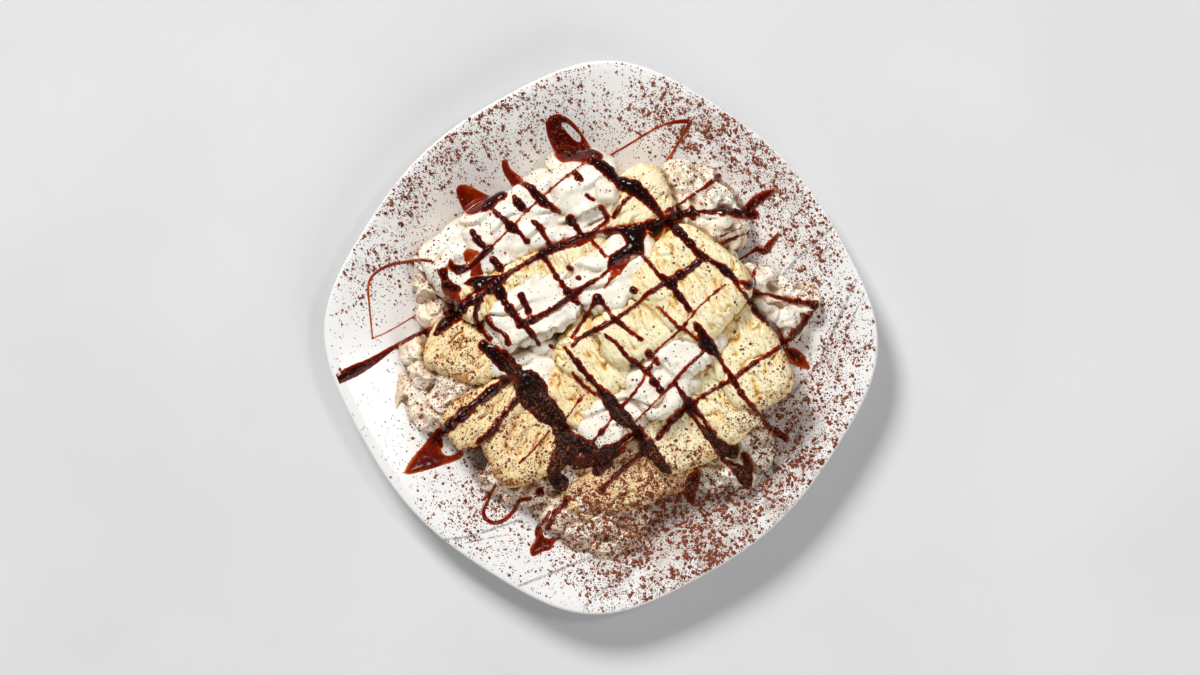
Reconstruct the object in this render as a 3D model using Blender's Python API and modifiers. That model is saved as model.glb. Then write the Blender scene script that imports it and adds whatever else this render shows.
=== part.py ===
"""A banana split on its rounded-square plate.

Slabs of vanilla ice cream, a banana half and spooned whipped cream lie side by side on the plate.
Thick chocolate sauce is drizzled over them and on the rim. Millimetres in the tables, metres in the
model, +Z up. The origin is at the middle of the plate, on the surface that its foot stands on.
"""
import itertools
import math

import bmesh
import bpy
from mathutils import Matrix, Vector
from mathutils.bvhtree import BVHTree

MM = 0.001

# The plate: a square with very round sides that stands on one corner when seen from the front.
PLATE_CORNER = 135.0      # from the middle to a corner
PLATE_SIDE = 124.8        # from the middle to the middle of a side
CORNER_SPREAD = 18.0      # how many degrees a corner's swelling reaches to each side
CORNER_TURN = -2.0        # the first corner's direction, in degrees from +X
ROUND_WELL = 60.0         # inside this radius the plate is truly round
WELL_RADIUS = 74.0
WELL_TOP = 7.0
WELL_RISE = 0.5           # by the edge of the well its floor has risen this much
RIM_TOP = 21.0
RIM_FACE = ((88.0, 9.8), (112.0, 16.3), (130.5, 20.8))    # (radius, height) outside the well
LIP = 1.4                 # radius of the rounded lip
LIP_ANGLES = (90, 20, -50)
FOOT_RADIUS = 58.0
FOOT_WIDTH = 6.0
FOOT_BEVEL = 1.5
WELL_UNDERSIDE = 2.9      # height of the plate's underside inside the foot
RIM_UNDERSIDE = ((92.0, 7.4), (74.0, 4.0), (60.0, 3.2))
PLATE_STEPS = 48

# Clearances and the fineness of the solids.
GAP = 0.35                # space between two pieces that touch
CUTTER_MARGIN = 30.0      # what is cut away under the plate's face reaches this far past the rim
CUTTER_RISE = 8.0         # and is this much higher there
CUTTER_FLOOR = -10.0
FOOD_BASE = 4.0           # food reaches down to here and is then cut by the plate
LUMP_SPREAD = 1.14        # a large lump is this much wider at its waist than its top looks
SMALL_LUMP = 24.0         # lumps no longer than this stay as wide as they look
BALL_FINENESS = 4         # subdivisions of the ball that a lump is made from
VOXEL = 1.5
SMOOTH_PASSES = 6
FOOD_TRIANGLES = 120      # of a piece of one lump
LUMP_TRIANGLES = 10       # more for each further lump
SMALLEST_SHARE = 0.05     # a cut leaves at least this much of a piece
LARGEST_SHARE = 1.01      # and, but for rounding, no more than there was
MOST_GROWN = 1.3          # sauce makes a piece no larger than this
WELDS = (0.45, 0.05)      # points closer than this are welded, the second where the first fails
FINE_WELD = 0.01
SLIVER = 0.02
SHARP_ANGLE = 50.0

# Sauce that is fused to what it lies on.
SAUCE_FLATNESS = 0.62     # height of a strand against its width
SAUCE_LIFT = 0.15
SAUCE_MOST_HIGH = 1.3     # a wide pool is no higher than this above what it lies on
SAUCE_STEP = 1.0          # a strand is followed in steps of this length
SAUCE_BEND = 0.6          # and gets a ring wherever a straight tube would be off by this much
SAUCE_SLIM = 3.0          # strands narrower than this are four-sided, the others six-sided
SAUCE_STEEPEST = 1.3      # slope across a strand, past which it is left out
SAUCE_CLEAR = 0.6         # from a strand's edge to the next piece
SAUCE_SHORTEST = 5.0
ABOVE_ALL = 200.0         # height that the surface is looked for from
DIRECTIONS = 8            # round a strand's ring, to see what lies there

# Each lump is (x, y, top, length, width, turn in degrees, squareness). A squareness of 2 is a ball's
# and a higher one is blockier. Pieces come in the order in which they keep their full shape.
ICE_CREAM = {
    "ice_cream_middle": ((43, 25, 53, 48, 44, -40, 3.4), (21, 6, 49, 46, 27, 25, 3.4)),
    "ice_cream_upper": ((18, 66, 45, 34, 32, 25, 3.2),),
    "ice_cream_right": ((72, -10, 44, 48, 34, -65, 3.2),),
    "ice_cream_strip": ((-32, 30, 43, 76, 18, 25, 3.2),),
    "ice_cream_centre_left": ((-2, -10, 42, 38, 28, -35, 3.0), (-6, 7, 41, 24, 20, 30, 2.6)),
    "ice_cream_lower_right": ((57, -31, 40, 38, 26, -50, 3.2),),
    "ice_cream_centre_low": ((-13, -28, 38, 30, 25, -35, 3.0),),
    "ice_cream_left": ((-65, -7, 35, 38, 28, -20, 3.0),),
    "ice_cream_low": ((38, -49, 35, 33, 31, 20, 3.2),),
    "ice_cream_lower_left": ((-56, -36, 34, 40, 21, 33, 3.2),),
    "ice_cream_front_left": ((-38, -53, 33, 39, 36, 25, 3.0),),
}
BANANA = {
    "banana_half": ((-4, -76, 25, 26, 22, 30, 2.4), (13, -67, 28, 44, 30, 20, 2.6),
                    (32, -64, 25, 26, 22, 12, 2.4)),
}
CREAM = {
    "cream_middle_right": ((8, 31, 49, 44, 29, 30, 2.6),),
    "cream_dollop_top": ((-6, 73, 46, 36, 27, 28, 2.4), (-19, 83, 35, 13, 13, 0, 2.2)),
    "cream_middle_left": ((-31, 14, 45, 45, 28, 28, 2.6),),
    "cream_cross_upper": ((43, -5, 46, 34, 19, 36, 2.5), (30, -21, 43, 34, 26, 40, 2.5)),
    "cream_band_upper": ((-28, 60, 42, 32, 32, 28, 2.6), (-30, 73, 34, 20, 15, 30, 2.4),
                         (-7, 53, 40, 24, 17, 25, 2.4)),
    "cream_band_middle": ((-48, 50, 41, 34, 32, 30, 2.6),),
    "cream_cross_lower": ((7, -38, 40, 36, 21, 40, 2.5), (-5, -48, 34, 28, 17, 35, 2.4),
                          (19, -28, 41, 24, 20, 40, 2.4)),
    "cream_hook": ((-47, 4, 39, 22, 32, 10, 2.4), (-37, -14, 37, 34, 15, -12, 2.4),
                   (-53, -12, 34, 15, 15, 0, 2.2), (-28, -4, 38, 20, 15, -20, 2.3)),
    "cream_valley": ((-33, -25, 33, 20, 24, 0, 2.4), (-25, -41, 31, 22, 22, -50, 2.4),
                     (-18, -56, 30, 24, 22, -70, 2.4), (-19, -67, 26, 18, 16, 0, 2.3)),
    "cream_band_lower": ((-67, 37, 37, 34, 32, 38, 2.6),),
    "cream_back_right": ((38, 77, 31, 17, 17, 0, 2.2), (48, 75, 28, 17, 15, 0, 2.2),
                         (42, 67, 33, 22, 22, 0, 2.2), (55, 67, 28, 21, 19, 0, 2.2),
                         (63, 58, 25, 18, 19, 0, 2.2), (48, 56, 34, 25, 22, -30, 2.4),
                         (58, 48, 27, 24, 15, 10, 2.2)),
    "cream_right_seam": ((57, 39, 33, 20, 12, -40, 2.2), (67, 28, 29, 20, 11, -50, 2.2)),
    "cream_right": ((77, 28, 30, 15, 19, 60, 2.2), (85, 21, 28, 19, 17, 0, 2.2),
                    (97, 18, 25, 19, 15, 0, 2.2), (89, 9, 27, 22, 17, -30, 2.2),
                    (78, 13, 31, 19, 19, 0, 2.2)),
    "cream_front_right": ((58, -48, 32, 18, 18, 0, 2.2), (70, -45, 31, 24, 17, -20, 2.2),
                          (75, -55, 27, 19, 17, 0, 2.2), (63, -62, 28, 21, 19, 0, 2.2),
                          (54, -65, 25, 15, 19, 0, 2.2), (70, -70, 20, 15, 12, 0, 2.2)),
    "cream_left": ((-68, -23, 30, 20, 18, 0, 2.2), (-78, -11, 30, 17, 17, 0, 2.2),
                   (-90, -7, 25, 14, 14, 0, 2.2), (-85, -17, 27, 16, 16, 0, 2.2),
                   (-73, -20, 30, 17, 19, 0, 2.2), (-90, -28, 21, 17, 17, 0, 2.2),
                   (-75, -30, 29, 18, 19, 0, 2.2), (-84, -36, 24, 18, 18, 0, 2.2),
                   (-75, -38, 26, 14, 14, 0, 2.2), (-97, -27, 18, 24, 9, 75, 2.2)),
    "cream_left_edge": ((-83, 36, 28, 15, 15, 0, 2.2), (-84, 25, 24, 18, 13, 85, 2.2),
                        (-81, 13, 22, 17, 15, 70, 2.2)),
    "cream_front": ((-20, -85, 23, 21, 21, 0, 2.2), (-8, -80, 25, 23, 21, 0, 2.2),
                    (-10, -94, 21, 21, 19, 0, 2.2), (2, -89, 24, 21, 19, 0, 2.2),
                    (12, -94, 21, 19, 19, 0, 2.2), (2, -101, 19, 21, 15, 0, 2.2),
                    (15, -86, 23, 17, 15, 0, 2.2)),
    "cream_front_left": ((-49, -66, 23, 23, 19, 0, 2.2), (-40, -75, 20, 19, 15, 0, 2.2),
                         (-30, -73, 22, 21, 19, 0, 2.2), (-27, -80, 20, 15, 15, 0, 2.2)),
}

# Each strand of sauce is a row of (x, y, width) points, seen from above.
SAUCE = {
    "rim_pool_back": ((-26, 107, 4), (-22, 101, 8), (-19, 95, 11), (-15, 90, 12)),
    "rim_pool_back_arm": ((-21, 108, 3.5), (-15, 105, 2.5), (-10, 99, 3), (-5, 92, 5), (1, 88, 5)),
    "rim_tongue_left": ((-128, -19, 5), (-124, -16, 5.5), (-117, -12, 5), (-107, -8, 4), (-98, -4, 2.6),
                        (-90, -1, 2)),
    "rim_teardrop": ((-70, 72, 5), (-65, 67, 11), (-59, 65, 9), (-53, 67, 4), (-47, 70, 2.5)),
    "rim_spike": ((-48, 87, 2), (-45, 82, 3.5), (-42, 78, 4), (-39, 75, 2.5)),
    "rim_bow_back": ((3, 88, 1.4), (12, 93, 1.4), (22, 99, 1.4), (31, 104, 1.5), (41, 105, 2)),
    "rim_bow_return": ((43, 104, 2), (39, 98, 1.5), (36, 92, 1.4), (32, 86, 1.9)),
    "rim_bow_left": ((-90, 37, 1.6), (-98, 36, 1.6), (-105, 34, 1.5), (-111, 30, 1.4),
                     (-113, 25, 1.4), (-113, 15, 1.4)),
    "rim_tip_front_left": ((-95, -64, 3), (-90, -61, 6), (-85, -57, 9), (-80, -52, 9)),
    "rim_loop_front": ((-51, -72, 1.6), (-55, -78, 1.9), (-57, -85, 2), (-55, -89, 2), (-51, -90, 2),
                       (-46, -88, 2), (-42, -84, 2)),
    "rim_pool_front": ((-33, -105, 3), (-31, -101, 7), (-29, -97, 6)),
    "rim_pool_front_right": ((44, -70, 6), (43, -76, 6), (45, -81, 3)),
    "rim_star_right": ((90, -6, 3), (94, -9, 7), (98, -12, 5), (101, -14, 3)),
    "rim_streak_right": ((73, 41, 1.6), (77, 43, 3), (80, 43, 4), (83, 46, 3.2), (86, 50, 1.8)),
    "rim_blob_right": ((71, 61, 5), (76, 66, 5), (80, 69, 4.4), (84, 72, 3)),
    "rim_streak_front_right": ((80, -42, 2.4), (84, -46, 3.8), (90, -49, 3.4)),
    "corner_stroke": ((-6, 86, 3), (-2, 84, 5), (3, 80, 6), (8, 75, 4), (16, 71, 6.8), (21, 67, 5.8),
                      (25, 63, 4.4), (28, 59, 3)),
    "corner_hook": ((11, 65, 2), (8, 61, 2.4), (6, 58, 2.8)),
    "band_start": ((-73, 36, 4), (-67, 35, 5), (-61, 36, 4.5), (-56, 40, 3.5), (-52, 44, 2.5)),
    "band_drop": ((-77, 33, 4), (-75, 28, 5), (-72, 23, 6)),
    "band_leaf": ((-66, 26, 2), (-59, 27, 4), (-49, 29, 2.4)),
    "long_line_left": ((-76, 6, 4), (-71, 11, 5), (-64, 16, 3), (-56, 21, 2.4), (-49, 27, 4),
                       (-42, 32, 2.4), (-34, 36, 2.4), (-27, 41, 4), (-20, 44, 3.4), (-10, 48, 3)),
    "long_line_right": ((4, 52, 3.4), (21, 54, 4.4), (31, 57, 4), (38, 59, 4), (48, 60, 2.4),
                        (58, 61, 3), (65, 61, 3)),
    "dark_pool": ((5, 38, 6), (10, 42, 8), (16, 45, 9)),
    "dark_pool_tail": ((8, 36, 5), (3, 28, 3)),
    "second_line": ((-39, 6, 4), (-34, 8, 4), (-27, 11, 3), (-20, 16, 2.4), (-15, 20, 3), (-8, 25, 2)),
    "third_line": ((-9, 1, 2.4), (0, 5, 3), (7, 9, 2.4), (15, 15, 1.8), (24, 22, 2.4), (30, 26, 2.6),
                   (36, 29, 4), (43, 33, 3.4), (48, 38, 2)),
    "fourth_line": ((38, -17, 2), (44, -11, 1.8), (50, -6, 1.8)),
    "fifth_line": ((27, -48, 3), (31, -44, 3), (36, -38, 3.4), (43, -33, 3), (48, -29, 2.2),
                   (55, -24, 2), (63, -20, 2.4), (70, -15, 2.4), (77, -10, 2.2), (85, -5, 2.2)),
    "left_line": ((-71, -41, 3.6), (-65, -36, 3), (-59, -31, 2.4), (-52, -25, 4), (-45, -20, 4)),
    "left_second_line": ((-60, -51, 2), (-53, -45, 3.2), (-47, -38, 2.4)),
    "short_a": ((-47, 57, 2), (-43, 53, 4.4), (-39, 50, 2.4), (-35, 46, 1.8)),
    "short_b": ((-42, 68, 2), (-40, 65, 4), (-37, 62, 4)),
    "short_c": ((-61, 50, 3), (-59, 47, 2.4), (-55, 42, 2.4)),
    "short_d": ((-33, 56, 2), (-29, 53, 3.2), (-27, 48, 2)),
    "short_e": ((-15, 57, 4.4), (-13, 54, 3), (-8, 49, 2)),
    "short_f": ((-38, 20, 4), (-36, 16, 4), (-35, 12, 3)),
    "spike_line": ((-34, 72, 3.4), (-31, 68, 4), (-28, 65, 6), (-24, 63, 4), (-20, 60, 2.4)),
    "blob_top": ((-13, 79, 3.4), (-10, 75, 3.8)),
    "hook_top": ((0, 63, 3), (2, 60, 2.4), (3, 56, 2)),
    "cross_a": ((-27, 38, 3), (-23, 32, 2), (-19, 26, 2.4), (-15, 20, 4)),
    "cross_b": ((-49, 23, 3.4), (-45, 15, 3), (-40, 9, 3.6), (-34, 3, 3), (-30, -3, 2)),
    "cross_c": ((30, 56, 4), (36, 52, 4.4), (41, 47, 4), (47, 40, 4), (53, 36, 2), (59, 32, 4),
                (64, 28, 3), (67, 23, 2), (72, 16, 2.4), (76, 10, 3.4), (82, 6, 3), (87, 0, 4)),
    "cross_d": ((24, 34, 2), (28, 29, 2.8), (33, 26, 4), (36, 21, 3), (40, 16, 3), (42, 13, 3)),
    "cross_e": ((-2, 19, 4), (2, 14, 2), (6, 9, 2.4), (10, 6, 2.4), (15, 2, 2), (19, -1, 2.6)),
    "cross_f": ((48, 3, 4), (50, -3, 6), (54, -7, 4), (57, -10, 2.4), (60, -16, 2.4), (64, -21, 3),
                (67, -27, 2.4), (71, -31, 2.4)),
    "cross_g": ((-17, -5, 2), (-12, -11, 2.4), (-5, -19, 2.6), (0, -25, 4), (4, -30, 6), (9, -37, 6),
                (14, -42, 5), (19, -47, 4.4), (23, -53, 6), (28, -60, 5)),
    "cross_h": ((36, -22, 2.4), (39, -28, 2.4), (43, -33, 4), (48, -38, 2), (52, -44, 2.4),
                (54, -48, 5), (59, -54, 7), (64, -56, 7)),
    "cross_i": ((-59, 16, 2.4), (-60, 10, 2.4), (-59, 5, 2.8), (-54, 0, 2.8)),
    "cross_j": ((-51, -7, 6), (-48, -12, 6), (-43, -16, 4)),
    "dark_crust": ((-39, -17, 4), (-35, -22, 9), (-33, -28, 12), (-27, -35, 10), (-22, -40, 8),
                   (-19, -45, 7), (-16, -52, 8), (-20, -59, 7), (-23, -65, 5)),
    "front_blob": ((64, -63, 4), (67, -65, 6), (70, -68, 6)),
    "right_line": ((76, 22, 2), (82, 20, 1.8), (89, 18, 2.6), (99, 17, 2.4), (103, 16, 4)),
}


def make_material(name, colour, roughness):
    material = bpy.data.materials.new(name)
    material.use_nodes = True
    shader = material.node_tree.nodes["Principled BSDF"]
    shader.inputs["Base Color"].default_value = (*colour, 1.0)
    shader.inputs["Roughness"].default_value = roughness
    shader.inputs["Metallic"].default_value = 0.0
    return material


def clear_scene():
    for thing in list(bpy.data.objects):
        bpy.data.objects.remove(thing, do_unlink=True)


def make_collection(name):
    collection = bpy.data.collections.new(name)
    bpy.context.scene.collection.children.link(collection)
    return collection


def add_object(name, mesh, collection):
    thing = bpy.data.objects.new(name, mesh)
    collection.objects.link(thing)
    return thing


def settle(thing):
    """Put the result of an object's modifiers into its mesh."""
    graph = bpy.context.evaluated_depsgraph_get()
    graph.update()
    mesh = bpy.data.meshes.new_from_object(thing.evaluated_get(graph))
    thing.modifiers.clear()
    old = thing.data
    thing.data = mesh
    bpy.data.meshes.remove(old)
    mesh.name = thing.name


def islands(bm):
    """The separate groups of joined faces, largest first."""
    unseen = set(bm.faces)
    groups = []
    while unseen:
        seed = unseen.pop()
        group = {seed}
        front = [seed]
        while front:
            face = front.pop()
            for edge in face.edges:
                for other in edge.link_faces:
                    if other in unseen:
                        unseen.remove(other)
                        group.add(other)
                        front.append(other)
        groups.append(group)
    return sorted(groups, key=lambda faces: -sum(face.calc_area() for face in faces))


def clean(thing, weld):
    """Weld what a cut leaves, drop loose scraps, and keep one closed body."""
    bm = bmesh.new()
    bm.from_mesh(thing.data)
    bmesh.ops.remove_doubles(bm, verts=bm.verts, dist=weld * MM)
    bmesh.ops.dissolve_degenerate(bm, edges=bm.edges, dist=SLIVER * MM)
    scraps = [face for group in islands(bm)[1:] for face in group]
    bmesh.ops.delete(bm, geom=scraps, context="FACES")
    bmesh.ops.triangulate(bm, faces=bm.faces)
    bmesh.ops.recalc_face_normals(bm, faces=bm.faces)
    bm.to_mesh(thing.data)
    bm.free()


def rim_reach(angle):
    """How far the plate reaches in a direction, in millimetres."""
    off = (math.degrees(angle) - CORNER_TURN + 45.0) % 90.0 - 45.0
    return PLATE_SIDE + (PLATE_CORNER - PLATE_SIDE) * math.exp(-(off / CORNER_SPREAD) ** 2)


def square_off(mesh, reach):
    """Turn a round dish into the rounded square, which grows from the round well."""
    for vertex in mesh.vertices:
        radius = math.hypot(vertex.co.x, vertex.co.y) / MM
        if radius <= ROUND_WELL:
            continue
        share = min(1.0, (radius - ROUND_WELL) / (reach - ROUND_WELL))
        share = share * share * (3.0 - 2.0 * share)
        angle = math.atan2(vertex.co.y, vertex.co.x)
        factor = 1.0 + (rim_reach(angle) / reach - 1.0) * share
        vertex.co.x *= factor
        vertex.co.y *= factor


def turned(name, profile, collection):
    """A solid turned from a profile that starts and ends on the axis."""
    mesh = bpy.data.meshes.new(name)
    points = [(radius * MM, 0.0, height * MM) for radius, height in profile]
    mesh.from_pydata(points, [(i, i + 1) for i in range(len(points) - 1)], [])
    thing = add_object(name, mesh, collection)
    screw = thing.modifiers.new("turn", "SCREW")
    screw.steps = PLATE_STEPS
    screw.render_steps = PLATE_STEPS
    screw.use_merge_vertices = True
    screw.merge_threshold = FINE_WELD * MM
    settle(thing)
    turn = Matrix.Rotation(math.radians(CORNER_TURN), 4, "Z")
    thing.data.transform(turn)
    square_off(thing.data, PLATE_CORNER)
    return thing


def plate_top():
    """Profile of the plate's upper face, from the middle to the lip."""
    return [(0.0, WELL_TOP), (FOOT_RADIUS, WELL_TOP), (WELL_RADIUS, WELL_TOP + WELL_RISE),
            *RIM_FACE]


def make_plate(collection):
    lip = [(PLATE_CORNER - LIP + LIP * math.cos(a), RIM_TOP - LIP + LIP * math.sin(a))
           for a in map(math.radians, LIP_ANGLES)]
    foot_inside = FOOT_RADIUS - FOOT_WIDTH
    foot = [(FOOT_RADIUS, 0.0), (foot_inside, 0.0), (foot_inside - FOOT_BEVEL, WELL_UNDERSIDE),
            (0.0, WELL_UNDERSIDE)]
    return turned("plate", [*plate_top(), *lip, *RIM_UNDERSIDE, *foot], collection)


def make_plate_cutter(collection):
    """Everything under the plate's upper face and the gap that food keeps to it."""
    profile = [(radius, height + GAP) for radius, height in plate_top()]
    outside = PLATE_CORNER + CUTTER_MARGIN
    profile += [(outside, RIM_TOP + CUTTER_RISE), (outside, CUTTER_FLOOR), (0.0, CUTTER_FLOOR)]
    return turned("plate_cutter", profile, collection)


def add_lump(bm, x, y, top, length, width, turn, squareness):
    """A ball that is squared off to a cushion and set in its place."""
    new = bmesh.ops.create_icosphere(bm, subdivisions=BALL_FINENESS, radius=1.0)["verts"]
    half_height = (top - FOOD_BASE) / 2.0
    spread = LUMP_SPREAD if length > SMALL_LUMP else 1.0
    half_length, half_width = length * spread / 2.0, width * spread / 2.0
    spin = Matrix.Rotation(math.radians(turn), 3, "Z")
    for vertex in new:
        x1, y1, z1 = vertex.co
        size = (abs(x1) ** squareness + abs(y1) ** squareness + abs(z1) ** squareness)
        size **= 1.0 / squareness
        local = Vector((x1 * half_length, y1 * half_width, z1 * half_height)) / size
        vertex.co = (spin @ local + Vector((x, y, FOOD_BASE + half_height))) * MM


def make_food(name, lumps, collection):
    """Lumps melted into one soft body with few faces."""
    bm = bmesh.new()
    for lump in lumps:
        add_lump(bm, *lump)
    mesh = bpy.data.meshes.new(name)
    bm.to_mesh(mesh)
    bm.free()
    thing = add_object(name, mesh, collection)
    remesh = thing.modifiers.new("melt", "REMESH")
    remesh.mode = "VOXEL"
    remesh.voxel_size = VOXEL * MM
    smooth = thing.modifiers.new("soften", "SMOOTH")
    smooth.iterations = SMOOTH_PASSES
    settle(thing)
    faces = sum(len(face.vertices) - 2 for face in thing.data.polygons)
    decimate = thing.modifiers.new("simplify", "DECIMATE")
    decimate.ratio = (FOOD_TRIANGLES + LUMP_TRIANGLES * (len(lumps) - 1)) / faces
    settle(thing)
    return thing


def swollen(thing, collection):
    """A cutter that is larger than a piece by the gap."""
    cutter = add_object(thing.name + "_cutter", thing.data.copy(), collection)
    swell = cutter.modifiers.new("swell", "DISPLACE")
    swell.strength = GAP * MM
    swell.mid_level = 0.0
    settle(cutter)
    return cutter


def closed_volume(thing):
    """A closed body's volume, and none where the body is open."""
    bm = bmesh.new()
    bm.from_mesh(thing.data)
    closed = len(bm.faces) > 0 and all(edge.is_manifold for edge in bm.edges)
    volume = bm.calc_volume() if closed else 0.0
    bm.free()
    return volume


def boolean(thing, operation, collection):
    """Join or cut by a collection, by the second solver where the first leaves the body open."""
    before = closed_volume(thing)
    plain = thing.data.copy()
    for solver, weld in itertools.product(("EXACT", "MANIFOLD"), WELDS):
        cut = thing.modifiers.new(operation.lower(), "BOOLEAN")
        cut.operation = operation
        cut.operand_type = "COLLECTION"
        cut.collection = collection
        cut.solver = solver
        settle(thing)
        clean(thing, weld)
        after = closed_volume(thing)
        if operation == "UNION" and before < after < MOST_GROWN * before:
            return True
        share = after / before
        if operation == "DIFFERENCE" and SMALLEST_SHARE < share < LARGEST_SHARE:
            return True
        thing.data = plain.copy()
    return False


def surface(thing):
    bm = bmesh.new()
    bm.from_mesh(thing.data)
    tree = BVHTree.FromBMesh(bm)
    bm.free()
    return tree


def along(points, step):
    """Points at even steps on a smooth curve through a strand's own points."""
    rows = [Vector(point) for point in points]
    rows = [2 * rows[0] - rows[1]] + rows + [2 * rows[-1] - rows[-2]]
    out = []
    for a, b, c, d in zip(rows, rows[1:], rows[2:], rows[3:]):
        count = max(1, round((c - b).xy.length / step))
        for i in range(count):
            t = i / count
            out.append(0.5 * (2 * b + (c - a) * t + (2 * a - 5 * b + 4 * c - d) * t * t
                              + (3 * b - a - 3 * c + d) * t * t * t))
    out.append(rows[-2])
    return out


def top_of(trees, x, y):
    """The uppermost node under a point, and the height of its surface there."""
    best_name, best_height = None, -1.0
    for name, tree in trees.items():
        spot = tree.ray_cast(Vector((x, y, ABOVE_ALL * MM)), Vector((0.0, 0.0, -1.0)))[0]
        if spot is not None and spot.z > best_height:
            best_name, best_height = name, spot.z
    return best_name, best_height


def is_clear(trees, own, spot, half_width):
    """Whether a strand's ring lies on its own node, clear of every other one and not on a steep."""
    reach = (half_width + SAUCE_CLEAR) * MM
    for name, tree in trees.items():
        if name != own and tree.find_nearest(spot, reach)[0] is not None:
            return False
    for direction in range(DIRECTIONS):
        angle = 2.0 * math.pi * direction / DIRECTIONS
        x, y = spot.x + reach * math.cos(angle), spot.y + reach * math.sin(angle)
        name, height = top_of({own: trees[own]}, x, y)
        if name is None or abs(height - spot.z) > SAUCE_STEEPEST * reach:
            return False
    return True


def sauce_runs(trees, points):
    """Stretches of a strand that lie on one node each, clear of the others."""
    runs = []
    run_name, run = None, []
    for point in along(points, SAUCE_STEP):
        x, y, width = point.x * MM, point.y * MM, point.z
        name, height = top_of(trees, x, y)
        spot = Vector((x, y, height))
        clear = name is not None and is_clear(trees, name, spot, width / 2.0)
        if not clear or name != run_name:
            if run:
                runs.append((run_name, run))
            run_name, run = (name, []) if clear else (None, [])
        if clear:
            run.append(Vector((point.x, point.y, height / MM, width / 2.0)))
    if run:
        runs.append((run_name, run))
    return [(name, run) for name, run in runs if (run[-1] - run[0]).xy.length >= SAUCE_SHORTEST]


def fewest(points):
    """The points that a run needs, so that straight tubes between them stay close to it."""
    first, last = points[0], points[-1]
    chord = (last - first) / max((last - first).length, 1.0)
    farthest, most = 0, SAUCE_BEND
    for i, point in enumerate(points[1:-1], 1):
        off = point - first
        distance = (off - chord * off.dot(chord)).length
        if distance > most:
            farthest, most = i, distance
    if not farthest:
        return [first, last]
    return fewest(points[:farthest + 1])[:-1] + fewest(points[farthest:])


def make_strand(name, run, tree, collection):
    """A tube along a run, flattened and draped over the node that carries it."""
    picked = fewest(run)
    widest = 2.0 * max(point.w for point in picked)
    curve = bpy.data.curves.new(name, "CURVE")
    curve.dimensions = "3D"
    curve.bevel_depth = 1.0 * MM
    curve.bevel_resolution = 0 if widest < SAUCE_SLIM else 1
    curve.use_fill_caps = True
    spline = curve.splines.new("POLY")
    spline.points.add(len(picked) - 1)
    for knot, point in zip(spline.points, picked):
        knot.co = (point.x * MM, point.y * MM, 0.0, 1.0)
        knot.radius = point.w
    tube = bpy.data.objects.new(name, curve)
    collection.objects.link(tube)
    graph = bpy.context.evaluated_depsgraph_get()
    mesh = bpy.data.meshes.new_from_object(tube.evaluated_get(graph))
    bpy.data.objects.remove(tube)
    bm = bmesh.new()
    bm.from_mesh(mesh)
    bmesh.ops.remove_doubles(bm, verts=bm.verts, dist=FINE_WELD * MM)
    flat = min(SAUCE_FLATNESS, 2.0 * SAUCE_MOST_HIGH / widest)
    lift = SAUCE_LIFT * flat * widest / 2.0 * MM
    for vertex in bm.verts:
        height = top_of({name: tree}, vertex.co.x, vertex.co.y)[1]
        vertex.co.z = height + lift + vertex.co.z * flat
    bmesh.ops.recalc_face_normals(bm, faces=bm.faces)
    bm.to_mesh(mesh)
    bm.free()
    return add_object(name, mesh, collection)


def fuse_sauce(things):
    trees = {thing.name: surface(thing) for thing in things}
    wanted = {}
    for strand, points in SAUCE.items():
        for name, run in sauce_runs(trees, points):
            wanted.setdefault(name, []).append((strand, run))
    for thing in things:
        runs = wanted.get(thing.name, [])
        if not runs:
            continue
        group = make_collection(thing.name + "_sauce")
        for number, (strand, run) in enumerate(runs):
            make_strand(f"{strand}_{number}", run, trees[thing.name], group)
        boolean(thing, "UNION", group)
        for strand in list(group.objects):
            bpy.data.objects.remove(strand)
        bpy.data.collections.remove(group)


def build():
    clear_scene()
    main = make_collection("banana_split")
    cutters = make_collection("cutters")
    porcelain = make_material("porcelain", (0.86, 0.85, 0.82), 0.2)
    vanilla = make_material("vanilla_ice_cream", (0.93, 0.80, 0.50), 0.6)
    fruit = make_material("banana_flesh", (0.80, 0.62, 0.36), 0.6)
    whipped = make_material("whipped_cream", (0.95, 0.92, 0.84), 0.5)
    plate = make_plate(main)
    plate.data.materials.append(porcelain)
    things = [plate]
    make_plate_cutter(cutters)
    for pieces, material in ((ICE_CREAM, vanilla), (BANANA, fruit), (CREAM, whipped)):
        for name, lumps in pieces.items():
            thing = make_food(name, lumps, main)
            cutter = swollen(thing, main)
            boolean(thing, "DIFFERENCE", cutters)
            thing.data.materials.clear()
            thing.data.materials.append(material)
            main.objects.unlink(cutter)
            cutters.objects.link(cutter)
            things.append(thing)
    fuse_sauce(things)
    for cutter in cutters.objects:
        cutter.hide_render = True
        cutter.display_type = "WIRE"
    for thing in things:
        thing.data.shade_smooth()
        thing.data.set_sharp_from_angle(angle=math.radians(SHARP_ANGLE))


build()
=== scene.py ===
# %% [markdown]
# This is a banana split on its plate, seen from straight above. Slabs of vanilla ice cream, spooned
# whipped cream and one long dusted slab of banana lie side by side, and chocolate sauce is drizzled
# over them in a net. The packed solids say where every piece lies and about how large it is. They are
# loaded first, and all that is made below is fitted to them.

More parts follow.
